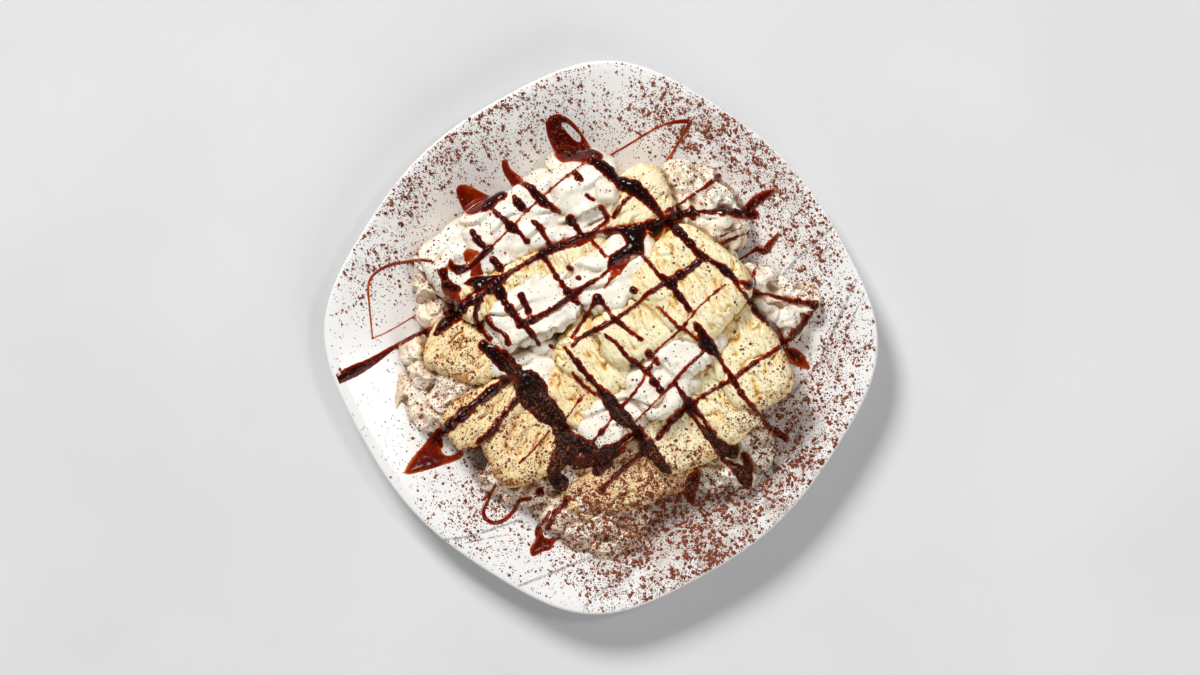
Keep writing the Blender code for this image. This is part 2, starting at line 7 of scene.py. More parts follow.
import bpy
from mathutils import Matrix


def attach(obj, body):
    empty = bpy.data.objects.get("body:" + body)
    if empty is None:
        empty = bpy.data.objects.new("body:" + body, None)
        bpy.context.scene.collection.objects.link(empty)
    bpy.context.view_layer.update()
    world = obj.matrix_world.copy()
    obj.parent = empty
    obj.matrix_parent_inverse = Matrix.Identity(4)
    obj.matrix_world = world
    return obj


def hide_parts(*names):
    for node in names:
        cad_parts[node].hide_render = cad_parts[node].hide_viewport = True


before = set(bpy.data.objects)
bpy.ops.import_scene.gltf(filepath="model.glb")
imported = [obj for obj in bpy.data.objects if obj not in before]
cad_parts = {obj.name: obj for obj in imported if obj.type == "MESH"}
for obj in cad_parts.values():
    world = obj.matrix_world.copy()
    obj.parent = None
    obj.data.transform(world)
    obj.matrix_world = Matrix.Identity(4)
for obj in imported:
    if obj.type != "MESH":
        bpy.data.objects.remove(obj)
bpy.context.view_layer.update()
print("solids:", len(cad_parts))

# %% [markdown]
# The tables are in millimetres and Blender works in metres. Blender's noise takes its seed from the
# clock unless it is given one, and the folds of the cream would then be others at every run.

# %% Modules and units
import math

import bmesh
import bpy
import numpy as np
from mathutils import Matrix, Vector, noise
from mathutils.bvhtree import BVHTree

MM = 0.001
RELIEF_SEED = 7

noise.seed_set(RELIEF_SEED)
print("one unit of the tables is", MM, "m")

# %% [markdown]
# The photograph was taken from straight above, so the camera looks down along Z with +Y upwards in
# the picture. A long lens from far away keeps the high parts of the heap from growing in it. The
# plate's real size says how wide the view is at the height of its rim, and that sets the lens.

# %% Camera
CAMERA_HEIGHT = 2.0
CAMERA_SHIFT = -0.0005
RIM_HEIGHT = 0.02
VIEW_WIDTH = 0.5844
SENSOR = 36.0

camera_data = bpy.data.cameras.new("camera")
camera_data.sensor_width = SENSOR
camera_data.lens = SENSOR * (CAMERA_HEIGHT - RIM_HEIGHT) / VIEW_WIDTH
camera = bpy.data.objects.new("camera", camera_data)
camera.location = (CAMERA_SHIFT, 0.0, CAMERA_HEIGHT)
bpy.context.scene.collection.objects.link(camera)
bpy.context.scene.camera = camera
print("lens", round(camera_data.lens, 1), "mm")

# %% [markdown]
# One large soft lamp stands behind and to the left, low enough for the plate to throw a soft shadow to
# the front and right. A broad weak one faces it, to fill the far side of the heap. A third, small one
# on the right adds little light, but puts glints on wet sauce and glaze. The room gives even light from
# the sides and less from straight above, where it would lie as a grey veil on the sauce. The plain
# colours of the picture come out as they are with the Standard view.

# %% Light
def add_lamp(name, place, size, power):
    data = bpy.data.lights.new(name, "AREA")
    data.energy = power
    data.shape = "DISK"
    data.size = size
    lamp = bpy.data.objects.new(name, data)
    lamp.location = place
    lamp.rotation_euler = (-Vector(place)).to_track_quat("-Z", "Y").to_euler()
    bpy.context.scene.collection.objects.link(lamp)


add_lamp("main_lamp", (-1.84, 3.19, 3.03), 1.5, 212.0)
add_lamp("fill_lamp", (2.2, -2.8, 2.4), 3.0, 62.0)
add_lamp("glint_lamp", (0.78, 0.35, 1.9), 0.32, 5.0)
bpy.context.scene.view_settings.view_transform = "Standard"
print("lamps:", [light.name for light in bpy.data.lights])

# %% [markdown]
# Materials are written as arithmetic. A Field is one socket of a material's nodes: sums and products
# of fields add Math nodes, and any other node comes from the method node. Colours stay out of Math
# nodes, which would turn them grey, and are mixed by their own node. The two textures that nearly
# every finish needs, a noise and a value kept by the mesh, have a method each.

# %% A field is a socket that can be calculated with
class Field:
    def __init__(self, socket):
        self.socket = socket

    def node(self, kind, settings=None, inputs=None, output=0):
        """Add a node beside this one, set it up, fill or link its sockets and give one output."""
        tree = self.socket.id_data
        made = tree.nodes.new(kind)
        for name, value in (settings or {}).items():
            if name == "stops":
                ramp = made.color_ramp.elements
                while len(ramp) < len(value):
                    ramp.new(1.0)
                for stop, (position, colour) in zip(ramp, value):
                    stop.position = position
                    stop.color = (*colour, 1.0)
            else:
                setattr(made, name, value)
        for name, value in (inputs or {}).items():
            if isinstance(value, Field):
                tree.links.new(value.socket, made.inputs[name])
            else:
                made.inputs[name].default_value = value
        return Field(made.outputs[output])

    def sibling(self, output):
        return Field(self.socket.node.outputs[output])

    def math(self, operation, *values, clamp=False):
        settings = {"operation": operation, "use_clamp": clamp}
        return self.node("ShaderNodeMath", settings, dict(enumerate(values)))

    def vector(self, operation, *values, output=0):
        return self.node("ShaderNodeVectorMath", {"operation": operation}, dict(enumerate(values)), output)

    def mix(self, low, high):
        """The colour low where this field is 0 and high where it is 1."""
        inputs = {0: self, 6: colour_of(low), 7: colour_of(high)}
        return self.node("ShaderNodeMix", {"data_type": "RGBA"}, inputs, 2)

    def cloud(self, scale, detail):
        """A noise read at this place: 0.5 on the whole, seldom under 0.3 or over 0.7."""
        return self.node("ShaderNodeTexNoise", None, {"Vector": self, "Scale": scale, "Detail": detail})

    def kept(self, name, output="Fac"):
        """What the mesh keeps for its points under a name."""
        return self.node("ShaderNodeAttribute", {"attribute_name": name}, None, output)

    def step(self, low, high):
        """0 below low and 1 above high, or the other way round, with a soft change between."""
        inputs = {"Value": self, "From Min": low, "From Max": high}
        return self.node("ShaderNodeMapRange", {"interpolation_type": "SMOOTHSTEP"}, inputs)

    def __add__(self, other):
        return self.math("ADD", self, other)

    def __sub__(self, other):
        return self.math("SUBTRACT", self, other)

    def __rsub__(self, other):
        return self.math("SUBTRACT", other, self)

    def __mul__(self, other):
        return self.math("MULTIPLY", self, other)

    __radd__ = __add__
    __rmul__ = __mul__


def colour_of(value):
    return value if isinstance(value, Field) else (*value, 1.0)


print("operators:", [name for name in vars(Field) if name.startswith("__r")])

# %% The light of the room
ROOM_LOW = 0.2
ROOM_HIGH = 0.12

world = bpy.data.worlds.new("room")
world.use_nodes = True
sky = Field(world.node_tree.nodes.new("ShaderNodeTexCoord").outputs["Generated"])
height = sky.node("ShaderNodeSeparateXYZ", None, {0: sky}, "Z")
strength = height.step(0.72, 0.97) * (ROOM_HIGH - ROOM_LOW) + ROOM_LOW
world.node_tree.links.new(strength.socket, world.node_tree.nodes["Background"].inputs["Strength"])
world.node_tree.nodes["Background"].inputs["Color"].default_value = (1.0, 1.0, 1.0, 1.0)
bpy.context.scene.world = world
print("the room gives", ROOM_LOW, "from the sides and", ROOM_HIGH, "from above")

# %% [markdown]
# Every finish starts from the same shader. What is the same all over a piece is set on the shader's
# own sockets, and what changes over the surface is linked afterwards. Colours are given as the
# display shows them, from 0 to 255, and turned into the linear values that the shader works with.

# %% Colours and the start of a material
def shown(red, green, blue):
    """A colour as it looks on a display, as linear values."""
    return tuple((v / 255 / 12.92) if v < 11 else ((v / 255 + 0.055) / 1.055) ** 2.4
                 for v in (red, green, blue))


def start_material(name, **constants):
    """A material, its shader and its Object coordinates."""
    material = bpy.data.materials.new(name)
    material.use_nodes = True
    shader = material.node_tree.nodes["Principled BSDF"]
    for socket, value in constants.items():
        shader.inputs[socket.replace("_", " ")].default_value = value
    place = material.node_tree.nodes.new("ShaderNodeTexCoord")
    return material, shader, Field(place.outputs["Object"])


def link(field, shader, socket):
    field.socket.id_data.links.new(field.socket, shader.inputs[socket])


print("white is", shown(255, 255, 255))

# %% [markdown]
# The floor is a plain pale table top, with no pattern to speak of. It only carries the shadow.

# %% Floor
FLOOR_SIZE = 6.0
FLOOR_DROP = 0.0002

bpy.ops.mesh.primitive_plane_add(size=FLOOR_SIZE, location=(0.0, 0.0, -FLOOR_DROP))
floor = bpy.context.object
floor.name = "floor"
floor_paint, floor_shader, floor_place = start_material("pale_floor", Roughness=0.7)
cloud = floor_place.cloud(6.0, 5.0)
link(cloud.step(0.3, 0.7).mix(shown(218, 218, 219), shown(225, 225, 226)), floor_shader, "Base Color")
floor.data.materials.append(floor_paint)
print("floor", FLOOR_SIZE, "m wide")

# %% [markdown]
# The plate is porcelain with a round well and a rim that grows into a square with very round sides.
# A turned dish is made from a profile that spins round the axis. Outside the well it is then drawn in
# between four corners, as a potter's mould would do. The numbers are those of the solid plate.

# %% The plate's measures
PLATE_CORNER = 135.0
PLATE_SIDE = 124.8
CORNER_SPREAD = 18.0
CORNER_TURN = -2.0
ROUND_WELL = 60.0
LIP = 1.4
LIP_CENTRE = (133.6, 19.6)
UPPER_FACE = ((0, 7), (30, 7), (58, 7), (74, 7.5), (88, 9.8), (112, 16.3), (130.5, 20.8))
UNDERSIDE = ((128, 16.9), (112, 12.9), (92, 7.4), (74, 4), (62, 3.1))
FOOT = ((60.2, 2.9), (59, 1.9), (58, 0.5), (57.5, 0), (52.5, 0), (52, 0.5), (51, 2.4), (49.5, 2.9), (0, 2.9))
PLATE_STEPS = 192
PROFILE_STEP = 2.5


def along(points, step):
    """Points at even steps on a smooth curve through a few points of any dimension."""
    rows = [np.array(point, float) for point in points]
    rows = [2 * rows[0] - rows[1]] + rows + [2 * rows[-1] - rows[-2]]
    path = []
    for a, b, c, d in zip(rows, rows[1:], rows[2:], rows[3:]):
        count = max(1, round(math.dist(b[:2], c[:2]) / step))
        for t in np.arange(count) / count:
            path.append(0.5 * (2 * b + (c - a) * t + (2 * a - 5 * b + 4 * c - d) * t * t
                               + (3 * b - a - 3 * c + d) * t * t * t))
    return path + [rows[-2]]


def rim_reach(angle):
    """How far the plate reaches in a direction, in millimetres."""
    off = (np.degrees(angle) - CORNER_TURN + 45.0) % 90.0 - 45.0
    return PLATE_SIDE + (PLATE_CORNER - PLATE_SIDE) * np.exp(-(off / CORNER_SPREAD) ** 2)


def stretch_at(radius, angle):
    """How far out a point lies, as a share of where it would lie on a round plate."""
    share = np.clip((radius - ROUND_WELL) / (PLATE_CORNER - ROUND_WELL), 0.0, 1.0)
    share = share * share * (3.0 - 2.0 * share)
    return 1.0 + (rim_reach(angle) / PLATE_CORNER - 1.0) * share


print("plate", 2 * PLATE_CORNER, "mm from corner to corner")

# %% [markdown]
# Blender keeps a mesh in metres. Its points are read and written all at once, in millimetres, which is
# far quicker than one point at a time. The plate and the sauce are first built with millimetres as
# units and are only in metres once they are written. A finished piece keeps its object at the origin.

# %% Read, write and finish a mesh
def read_points(mesh):
    points = np.empty(len(mesh.vertices) * 3)
    mesh.vertices.foreach_get("co", points)
    return points.reshape(-1, 3) / MM


def write_points(mesh, points):
    mesh.vertices.foreach_set("co", (points * MM).ravel())
    mesh.update()


def new_object(name, mesh):
    thing = bpy.data.objects.new(name, mesh)
    bpy.context.scene.collection.objects.link(thing)
    return thing


def finish_piece(piece, material, slot, *nodes):
    """Dress a piece, let it ride with the part and hide the solids that it stands for."""
    piece.data.materials.clear()
    piece.data.materials.append(material)
    piece.data.shade_smooth()
    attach(piece, "root")
    if nodes:
        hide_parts(*nodes)


print("points are read and written in units of", MM, "m")

# %% [markdown]
# The lip is an arc between the upper face and the underside. The profile is spun all the way round with
# its seam merged, and the doubles left on the axis are merged too, before the normals are turned outwards.

# %% Spin the plate
def plate_profile():
    """The outline of the plate's section, from the middle of its top to the middle of its base."""
    lip = [(LIP_CENTRE[0] + LIP * math.cos(a), LIP_CENTRE[1] + LIP * math.sin(a))
           for a in map(math.radians, (95, 70, 45, 20, -5, -30, -55))]
    return along(UPPER_FACE, PROFILE_STEP) + lip + along(UNDERSIDE, 3.0) + list(FOOT)


def make_plate():
    bm = bmesh.new()
    rows = [bm.verts.new((r, 0.0, z)) for r, z in plate_profile()]
    edges = [bm.edges.new(pair) for pair in zip(rows, rows[1:])]
    bmesh.ops.spin(bm, geom=rows + edges, cent=(0, 0, 0), axis=(0, 0, 1), angle=2 * math.pi,
                   steps=PLATE_STEPS, use_merge=True)
    bmesh.ops.remove_doubles(bm, verts=bm.verts, dist=0.001)
    bmesh.ops.recalc_face_normals(bm, faces=bm.faces)
    mesh = bpy.data.meshes.new("plate_glazed")
    bm.to_mesh(mesh)
    bm.free()
    points = read_points(mesh) * MM
    radius, angle = np.hypot(points[:, 0], points[:, 1]), np.arctan2(points[:, 1], points[:, 0])
    points[:, :2] *= stretch_at(radius, angle)[:, None]
    write_points(mesh, points)
    return new_object("plate_glazed", mesh)


plate = make_plate()
print("plate:", len(plate.data.polygons), "faces,", [round(v, 3) for v in plate.dimensions])

# %% [markdown]
# The plate's height under any point is needed often: food may not sink through the porcelain. It is
# read from the profile, after what the mould did to the rim is undone.

# %% The height of the plate's upper face
def plate_height(x, y):
    radius, angle = np.hypot(x, y), np.arctan2(y, x)
    flat = radius
    for _ in range(4):
        flat = radius / stretch_at(flat, angle)
    table = np.array(along(UPPER_FACE, PROFILE_STEP))
    return np.interp(flat, table[:, 0], table[:, 1])


print("height in the well and near the rim:", plate_height(np.array([0.0, 120.0]), np.zeros(2)))

# %% [markdown]
# A few thin grey strokes lie under the glaze of the rim, to the right and at the front. Each is a
# chain of straight runs. The shader measures how far a point is from a run, seen from above, and
# colours it grey where it is nearer than the stroke's reach. A noise wears the grey thin in places.

# %% Glazed porcelain with grey strokes
STROKES = (
    (0.9, ((113, 54), (95, 38), (88, 29))),
    (1.1, ((124, 28), (118, 14), (112, 0), (107, -12), (95, -26), (82, -39))),
    (0.5, ((128, 22), (123, 10), (119, 2))),
    (0.9, ((-78, -99), (-64, -97), (-39, -89))),
    (0.5, ((-66, -100), (-45, -96))),
    (0.9, ((-40, -121), (-27, -116), (-2, -106))),
    (1.1, ((-8, -131), (20, -107), (35, -91), (45, -78))),
)


def near_run(flat, start, end, width):
    """1 on a straight run and 0 beside it."""
    a, b = Vector((*start, 0.0)), Vector((*end, 0.0))
    off = flat.vector("SUBTRACT", flat, tuple(a))
    share = off.vector("DOT_PRODUCT", off, tuple((b - a) / (b - a).length_squared), output=1)
    share = share.math("ADD", share, 0.0, clamp=True)
    foot = off.node("ShaderNodeVectorMath", {"operation": "SCALE"}, {0: tuple(b - a), "Scale": share})
    return foot.vector("DISTANCE", off, foot, output=1).step(width, 0.45 * width)


def specks(place, spacing, share):
    """1 on dots of dust and 0 beside them: as many cells have a dot as the share says."""
    size = {"Vector": place, "Scale": 1.0 / (spacing * MM)}
    cell = place.node("ShaderNodeTexVoronoi", None, size, "Distance")
    tint = cell.sibling("Color")
    luck = tint.node("ShaderNodeSeparateColor", None, {0: tint})
    return (luck - share).step(0.05, -0.05) * cell.step(0.5, 0.3)


def porcelain_material():
    material, shader, place = start_material("porcelain", Roughness=0.22, Specular_IOR_Level=0.3,
                                             Coat_Weight=0.15, Coat_Roughness=0.05)
    flat = place.vector("MULTIPLY", place, (1.0 / MM, 1.0 / MM, 0.0))
    grain = flat.cloud(0.4, 3.0)
    ink = None
    for width, points in STROKES:
        for start, end in zip(points, points[1:]):
            run = near_run(flat, start, end, width)
            ink = run if ink is None else ink.math("MAXIMUM", ink, run)
    ink = ink * grain.step(0.3, 0.55) * 0.75
    cloudy = place.cloud(22.0, 2.0)
    glaze = cloudy.step(0.3, 0.7).mix(shown(239, 238, 235), shown(244, 243, 240))
    dust = place.kept("dust")
    glaze = ink.mix(glaze, shown(132, 134, 136))
    fog = place.cloud(120.0, 4.0)
    glaze = ((dust * (fog.step(0.3, 0.6) * 0.6 + 0.4)).step(0.12, 0.5) * 0.7).mix(glaze, shown(192, 178, 168))
    link(specks(place, 0.8, dust * 0.5 - 0.03).mix(glaze, shown(126, 74, 54)), shader, "Base Color")
    return material


finish_piece(plate, porcelain_material(), "porcelain", "plate")
print("strokes:", len(STROKES))

# %% [markdown]
# Each piece of food is a few soft lumps melted together. A lump is (x, y, top, length, width, turn in
# degrees, squareness), in millimetres and seen from above. A squareness of 2 is a ball's and a higher
# one is blockier. The tables began as those of the solids. Some lumps were moved, resized or added
# afterwards, until the heap looked as it does in the picture.

# %% Ice cream and banana
FOOD_BASE = 4.0
LUMP_SPREAD = 1.05
SMALL_LUMP = 24.0

ICE_CREAM = {
    "ice_cream_middle": ((43, 25, 53, 48, 44, -40, 3.4), (21, 6, 49, 46, 27, 25, 3.4)),
    "ice_cream_upper": ((17, 65, 45, 31, 29, 25, 3.2), (25, 54, 43, 22, 15, -15, 2.6)),
    "ice_cream_right": ((70, -10, 44, 47, 32, -65, 3.2),),
    "ice_cream_strip": ((-32, 30, 43, 76, 18, 25, 3.2),),
    "ice_cream_centre_left": ((-2, -10, 42, 38, 28, -35, 3.0), (-6, 7, 41, 24, 20, 30, 2.6)),
    "ice_cream_lower_right": ((57, -31, 40, 38, 26, -50, 3.2),),
    "ice_cream_centre_low": ((-13, -28, 38, 30, 25, -35, 3.0),),
    "ice_cream_left": ((-66, -6.5, 35, 34, 26, -20, 3.0),),
    "ice_cream_low": ((38, -48, 35, 33, 30, 20, 3.2),),
    "ice_cream_lower_left": ((-56, -36, 34, 40, 21, 33, 3.2),),
    "ice_cream_front_left": ((-37, -52, 33, 36, 33, 25, 3.0),),
}
BANANA = {
    "banana_half": ((-4, -76, 25, 26, 22, 30, 2.4), (13, -67, 28, 44, 30, 20, 2.6),
                    (32, -64, 25, 26, 22, 12, 2.4)),
}
print(len(ICE_CREAM), "slabs of ice cream")

# %% Spooned cream
CREAM = {
    "cream_middle_right": ((8, 31, 49, 44, 29, 30, 2.6),),
    "cream_dollop_top": ((-7.5, 72.5, 46, 34, 27, 28, 2.4), (-19, 83, 35, 13, 13, 0, 2.2),
                         (2.4, 70.2, 50, 14, 13.5, 0, 3.2)),
    "cream_middle_left": ((-31, 14, 45, 45, 28, 28, 2.6),),
    "cream_cross_upper": ((43, -5, 48.5, 34, 20, 36, 2.5), (30, -21, 45.5, 34, 27, 40, 2.5)),
    "cream_band_upper": ((-28, 60, 42, 32, 32, 28, 2.6), (-30, 73, 34, 20, 15, 30, 2.4),
                         (-6.5, 55.5, 43, 26, 20, 25, 2.4)),
    "cream_band_middle": ((-48, 50, 41, 34, 32, 30, 2.6),),
    "cream_cross_lower": ((7, -38, 40, 36, 21, 40, 2.5), (-5, -48, 34, 28, 17, 35, 2.4),
                          (19, -28, 41, 24, 20, 40, 2.4)),
    "cream_hook": ((-47, 4, 39, 22, 32, 10, 2.4), (-37, -14, 37, 34, 15, -12, 2.4),
                   (-53, -12, 34, 15, 15, 0, 2.2), (-28, -4, 38, 20, 15, -20, 2.3)),
    "cream_valley": ((-33, -25, 33, 20, 24, 0, 2.4), (-25, -41, 31, 22, 22, -50, 2.4),
                     (-18, -56, 30, 24, 22, -70, 2.4), (-19, -67, 26, 18, 16, 0, 2.3)),
    "cream_band_lower": ((-67, 37, 37, 34, 32, 38, 2.6),),
}
print(len(CREAM), "spoonfuls of cream")

# %% [markdown]
# The cream at the edge of the heap is made of many small lumps. Most of them are unturned and nearly as
# round as a ball, so their turn and squareness are left out of the table, and add_lump has both ready.

# %% Ruffled cream
RUFFLES = {
    "cream_back_right": ((38, 77, 31, 17, 17), (48, 75, 28, 17, 15), (42, 67, 33, 22, 22),
                         (55, 67, 28, 21, 19), (63, 58, 25, 18, 19), (48, 56, 34, 25, 22, -30, 2.4),
                         (58, 48, 27, 24, 15, 10)),
    "cream_right_seam": ((57, 39, 33, 20, 12, -40), (67, 28, 29, 20, 11, -50)),
    "cream_right": ((77, 28, 30, 15, 19, 60), (85, 21, 28, 19, 17), (97, 18, 25, 19, 15),
                    (89, 9, 27, 22, 17, -30), (78, 13, 31, 19, 19)),
    "cream_front_right": ((58, -48, 32, 18, 18), (70, -45, 31, 24, 17, -20), (75, -55, 27, 19, 17),
                          (63, -62, 28, 21, 19), (54, -65, 25, 15, 19), (70, -70, 20, 15, 12)),
    "cream_left": ((-68, -23, 30, 20, 18), (-78, -11, 30, 17, 17), (-90, -7, 25, 14, 14),
                   (-85, -17, 27, 16, 16), (-73, -20, 30, 17, 19), (-90, -28, 21, 17, 17),
                   (-75, -30, 29, 18, 19), (-84, -36, 24, 18, 18), (-75, -38, 26, 14, 14),
                   (-97, -27, 18, 24, 9, 75)),
    "cream_left_edge": ((-83, 36, 28, 15, 15), (-84, 25, 24, 18, 13, 85), (-81, 13, 22, 17, 15, 70)),
    "cream_front": ((-20, -85, 23, 21, 21), (-8, -80, 25, 23, 21), (-10, -94, 21, 21, 19),
                    (2, -89, 24, 21, 19), (12, -94, 21, 19, 19), (2, -101, 19, 21, 15),
                    (15, -86, 23, 17, 15)),
    "cream_front_left": ((-49, -66, 23, 23, 19), (-40, -75, 20, 19, 15), (-30, -73, 22, 21, 19),
                         (-27, -80, 20, 15, 15)),
}
print(len(RUFFLES), "ruffles of cream")

# %% [markdown]
# A voxel remesh melts the lumps of a piece into one skin of even small faces, fine enough to carry
# folds and cracks. Before that each lump is a ball whose points are pushed out towards a box, in plan
# and, more so, in height: a slab is flat on top and has a crisp edge.

# %% Melt lumps into one body
FOOD_VOXEL = 0.66
SOFTEN_PASSES = 4
BLOCKIER = 1.3
FLATTER = 1.7
BALL_DETAIL = 5


def add_lump(bm, x, y, top, length, width, turn=0.0, squareness=2.2):
    ball = bmesh.ops.create_icosphere(bm, subdivisions=BALL_DETAIL, radius=1.0)["verts"]
    half_height = (top - FOOD_BASE) / 2.0
    spread, upright = 1.0, squareness
    if length > SMALL_LUMP:
        spread = LUMP_SPREAD
        squareness *= BLOCKIER
        upright = squareness * FLATTER
    half = (length * spread / 2.0, width * spread / 2.0, half_height)
    spin = Matrix.Rotation(math.radians(turn), 3, "Z")
    for vertex in ball:
        around = sum(abs(v) ** squareness for v in vertex.co.xy) ** (1.0 / squareness)
        size = (around ** upright + abs(vertex.co.z) ** upright) ** (1.0 / upright)
        local = Vector([v * h / size for v, h in zip(vertex.co, half)])
        vertex.co = spin @ local + Vector((x, y, FOOD_BASE + half_height))


def apply_modifiers(thing):
    graph = bpy.context.evaluated_depsgraph_get()
    graph.update()
    mesh = bpy.data.meshes.new_from_object(thing.evaluated_get(graph))
    thing.modifiers.clear()
    old = thing.data
    thing.data = mesh
    bpy.data.meshes.remove(old)


def remesh(thing, voxel, passes):
    melt = thing.modifiers.new("melt", "REMESH")
    melt.mode = "VOXEL"
    melt.voxel_size = voxel * MM
    soften = thing.modifiers.new("soften", "SMOOTH")
    soften.iterations = passes
    apply_modifiers(thing)


def make_food(name, lumps):
    bm = bmesh.new()
    for lump in lumps:
        add_lump(bm, *lump)
    mesh = bpy.data.meshes.new(name)
    bm.to_mesh(mesh)
    bm.free()
    mesh.transform(Matrix.Scale(MM, 4))
    piece = new_object(name, mesh)
    remesh(piece, FOOD_VOXEL, SOFTEN_PASSES)
    return piece


print("food is melted at", FOOD_VOXEL, "mm")

# %% [markdown]
# Relief is pushed out along each point's normal by a rule in space. The same rule says how much painted
# shade a hollow place gets, which the finish darkens, and gives bent coordinates along the stroke, which
# the finest cracks follow. Sides swell a little and get painted shade by how steep they are. Points that
# would sink through the plate are kept just under its surface.

# %% Push a relief into a piece
SINK = 0.8
SWELL = 0.9
SIDE_SHADE = 0.75
SHADED_FROM = 0.22
SHADED_TO = 0.72


def store(mesh, name, values):
    attribute = mesh.attributes.get(name) or mesh.attributes.new(name, "FLOAT", "POINT")
    attribute.data.foreach_set("value", np.asarray(values, np.float32))


def read_normals(mesh):
    normals = np.empty(len(mesh.vertices) * 3)
    mesh.vertices.foreach_get("normal", normals)
    return normals.reshape(-1, 3)


def relieve(piece, rule):
    mesh = piece.data
    points, normals = read_points(mesh), read_normals(mesh)
    made = [rule(Vector(point), Vector(normal)) for point, normal in zip(points, normals)]
    rises, painted_shades, strokes = zip(*made)
    points += normals * (np.array(rises) + SWELL * (1.0 - np.abs(normals[:, 2])))[:, None]
    floor_height = plate_height(points[:, 0], points[:, 1]) - SINK
    points[:, 2] = np.maximum(points[:, 2], floor_height)
    write_points(mesh, points)
    # Painted shade: the steeper a side, the more shade the finish paints on it.
    tilt = np.hypot(*read_normals(mesh)[:, :2].T)
    side = SIDE_SHADE * (np.clip(tilt, SHADED_FROM, SHADED_TO) - SHADED_FROM)
    store(mesh, "hollow", np.clip(painted_shades + side, 0.0, 1.0))
    grain = mesh.attributes.new("stroke", "FLOAT_VECTOR", "POINT")
    grain.data.foreach_set("vector", np.array(strokes, np.float32).ravel())


def soft_step(value, low, high):
    share = min(1.0, max(0.0, (value - low) / (high - low)))
    return share * share * (3.0 - 2.0 * share)


def ledge(share, drop):
    """A saw: down slowly from 1 as the share grows from 0, and up again over the last part."""
    return 1.0 - share if share < 1.0 - drop else (share - 1.0 + drop) / drop


print("halfway along a ledge the saw is at", ledge(0.5, 0.1))

# %% [markdown]
# Whipped cream that is laid with a spoon comes in layers, and each ends in a ledge along the stroke.
# The height across the stroke is a saw: it rises gently and drops at the ledge. A slow noise bends the
# ledges and lets them come and go. On the falling side of a band the cream hangs in soft drapes, and
# small knobs stand up here and there. The round knob at the end of the uppermost spoonful is kept
# smooth, with a dimple. Creases, the foot of each ledge, the gaps round the knobs and the dimple get
# painted shade. A noise read at a point divided by 10 changes over about 10 millimetres.

# %% The relief of spooned cream
KNOB = Vector((2.4, 70.2))
KNOB_REACH = 6.8
DIMPLE_DEPTH = 1.6
SPOON_TURN = 28.0
LEDGE_SPACING = 9.5
LEDGE_DROP = 0.16
LEDGE_HEIGHT = 3.3
DRAPE_HEIGHT = 0.8
HANGING_HEIGHT = 3.0
BROAD_HEIGHT = 1.2
SMALL_KNOB_HEIGHT = 1.6


def spooned_rule():
    back = Matrix.Rotation(-math.radians(SPOON_TURN), 3, "Z")
    falling = Vector((math.sin(math.radians(SPOON_TURN)), -math.cos(math.radians(SPOON_TURN)), 0.0))

    def rule(point, normal):
        bent = back @ (point + noise.noise_vector(point / 22.0) * 6.0)
        across = (bent.y + 0.35 * bent.z) / LEDGE_SPACING + 0.5 * noise.noise(point / 13.0)
        share = across % 1.0
        strength = soft_step(noise.noise(Vector((bent.x / 17.0, bent.y / 7.0, 4.0))), -0.25, 0.3)
        drape = abs(noise.noise(Vector((bent.x / 5.5, bent.y / 15.0, bent.z / 15.0))))
        hanging = soft_step(normal.dot(falling), 0.1, 0.7)
        broad = noise.noise(point / 10.0)
        lump = noise.voronoi((point + noise.noise_vector(point / 4.0)) / 5.0)[0]
        knobs = soft_step(noise.noise(point / 9.0 + Vector((0.0, 0.0, 9.0))), 0.05, 0.35)
        height = (LEDGE_HEIGHT * strength * (ledge(share, LEDGE_DROP) - 0.5)
                  + (DRAPE_HEIGHT + HANGING_HEIGHT * hanging) * (drape - 0.2) + BROAD_HEIGHT * broad
                  + SMALL_KNOB_HEIGHT * knobs * (0.35 - lump[0] * lump[0]))
        crease = max(0.0, 1.0 - drape / 0.07) * (0.15 + 0.5 * hanging)
        foot = strength * soft_step(share, 0.55, 1.0 - LEDGE_DROP) * (share < 1.0 - LEDGE_DROP)
        gap = knobs * max(0.0, 1.0 - (lump[1] - lump[0]) / 0.15)
        # Painted shade in creases, at the foot of each ledge, round the knobs and in the dimple; broad rises
        # get less.
        hollow = crease + 0.6 * foot + 0.45 * gap - 0.3 * broad
        away = (point.xy - KNOB).length / KNOB_REACH
        smooth = 1.0 - soft_step(away, 0.9, 1.2)
        dimple = smooth * (1.0 - min(away, 1.0) ** 2)
        height = height * (1.0 - 0.9 * smooth) - DIMPLE_DEPTH * dimple
        return height, hollow * (1.0 - smooth) + 0.35 * dimple, bent

    return rule


spooned = spooned_rule()
print("cream relief at the origin:", spooned(Vector((0.0, 0.0, 40.0)), Vector((0.0, 0.0, 1.0)))[:2])

# %% [markdown]
# Cream at the edge of the heap was pushed about, so it is ruffled. The absolute value of a noise makes
# this when it is turned upside down: there is a crisp ridge where the noise changes its sign and a soft
# hollow on either side. The noise is bent by a slower one and stretched, so that no two folds are alike.
# The hollows of the folds get painted shade.

# %% The relief of ruffled cream
FOLD_HEIGHT = 6.0
SMALL_FOLD_HEIGHT = 2.0
FOLD_MIDDLE = 0.18


def ruffled(point, normal):
    bent = point + noise.noise_vector(point / 8.0) * 5.0
    fold = abs(noise.noise(Vector((bent.x / 13.0, bent.y / 8.0, bent.z / 10.0))))
    small = abs(noise.noise(Vector((bent.x / 6.0, bent.y / 3.6, bent.z / 5.0 + 7.0))))
    crumb = noise.noise(point / 1.6)
    height = FOLD_HEIGHT * (FOLD_MIDDLE - fold) + SMALL_FOLD_HEIGHT * (FOLD_MIDDLE - small) + 0.2 * crumb
    # The second value is painted shade in the hollows of the folds.
    return height, 1.4 * max(0.0, fold - 0.2) + 0.5 * max(0.0, small - 0.25) - 0.1 * crumb, bent


print("ruffled relief at the origin:", ruffled(Vector((0.0, 0.0, 30.0)), None)[:2])
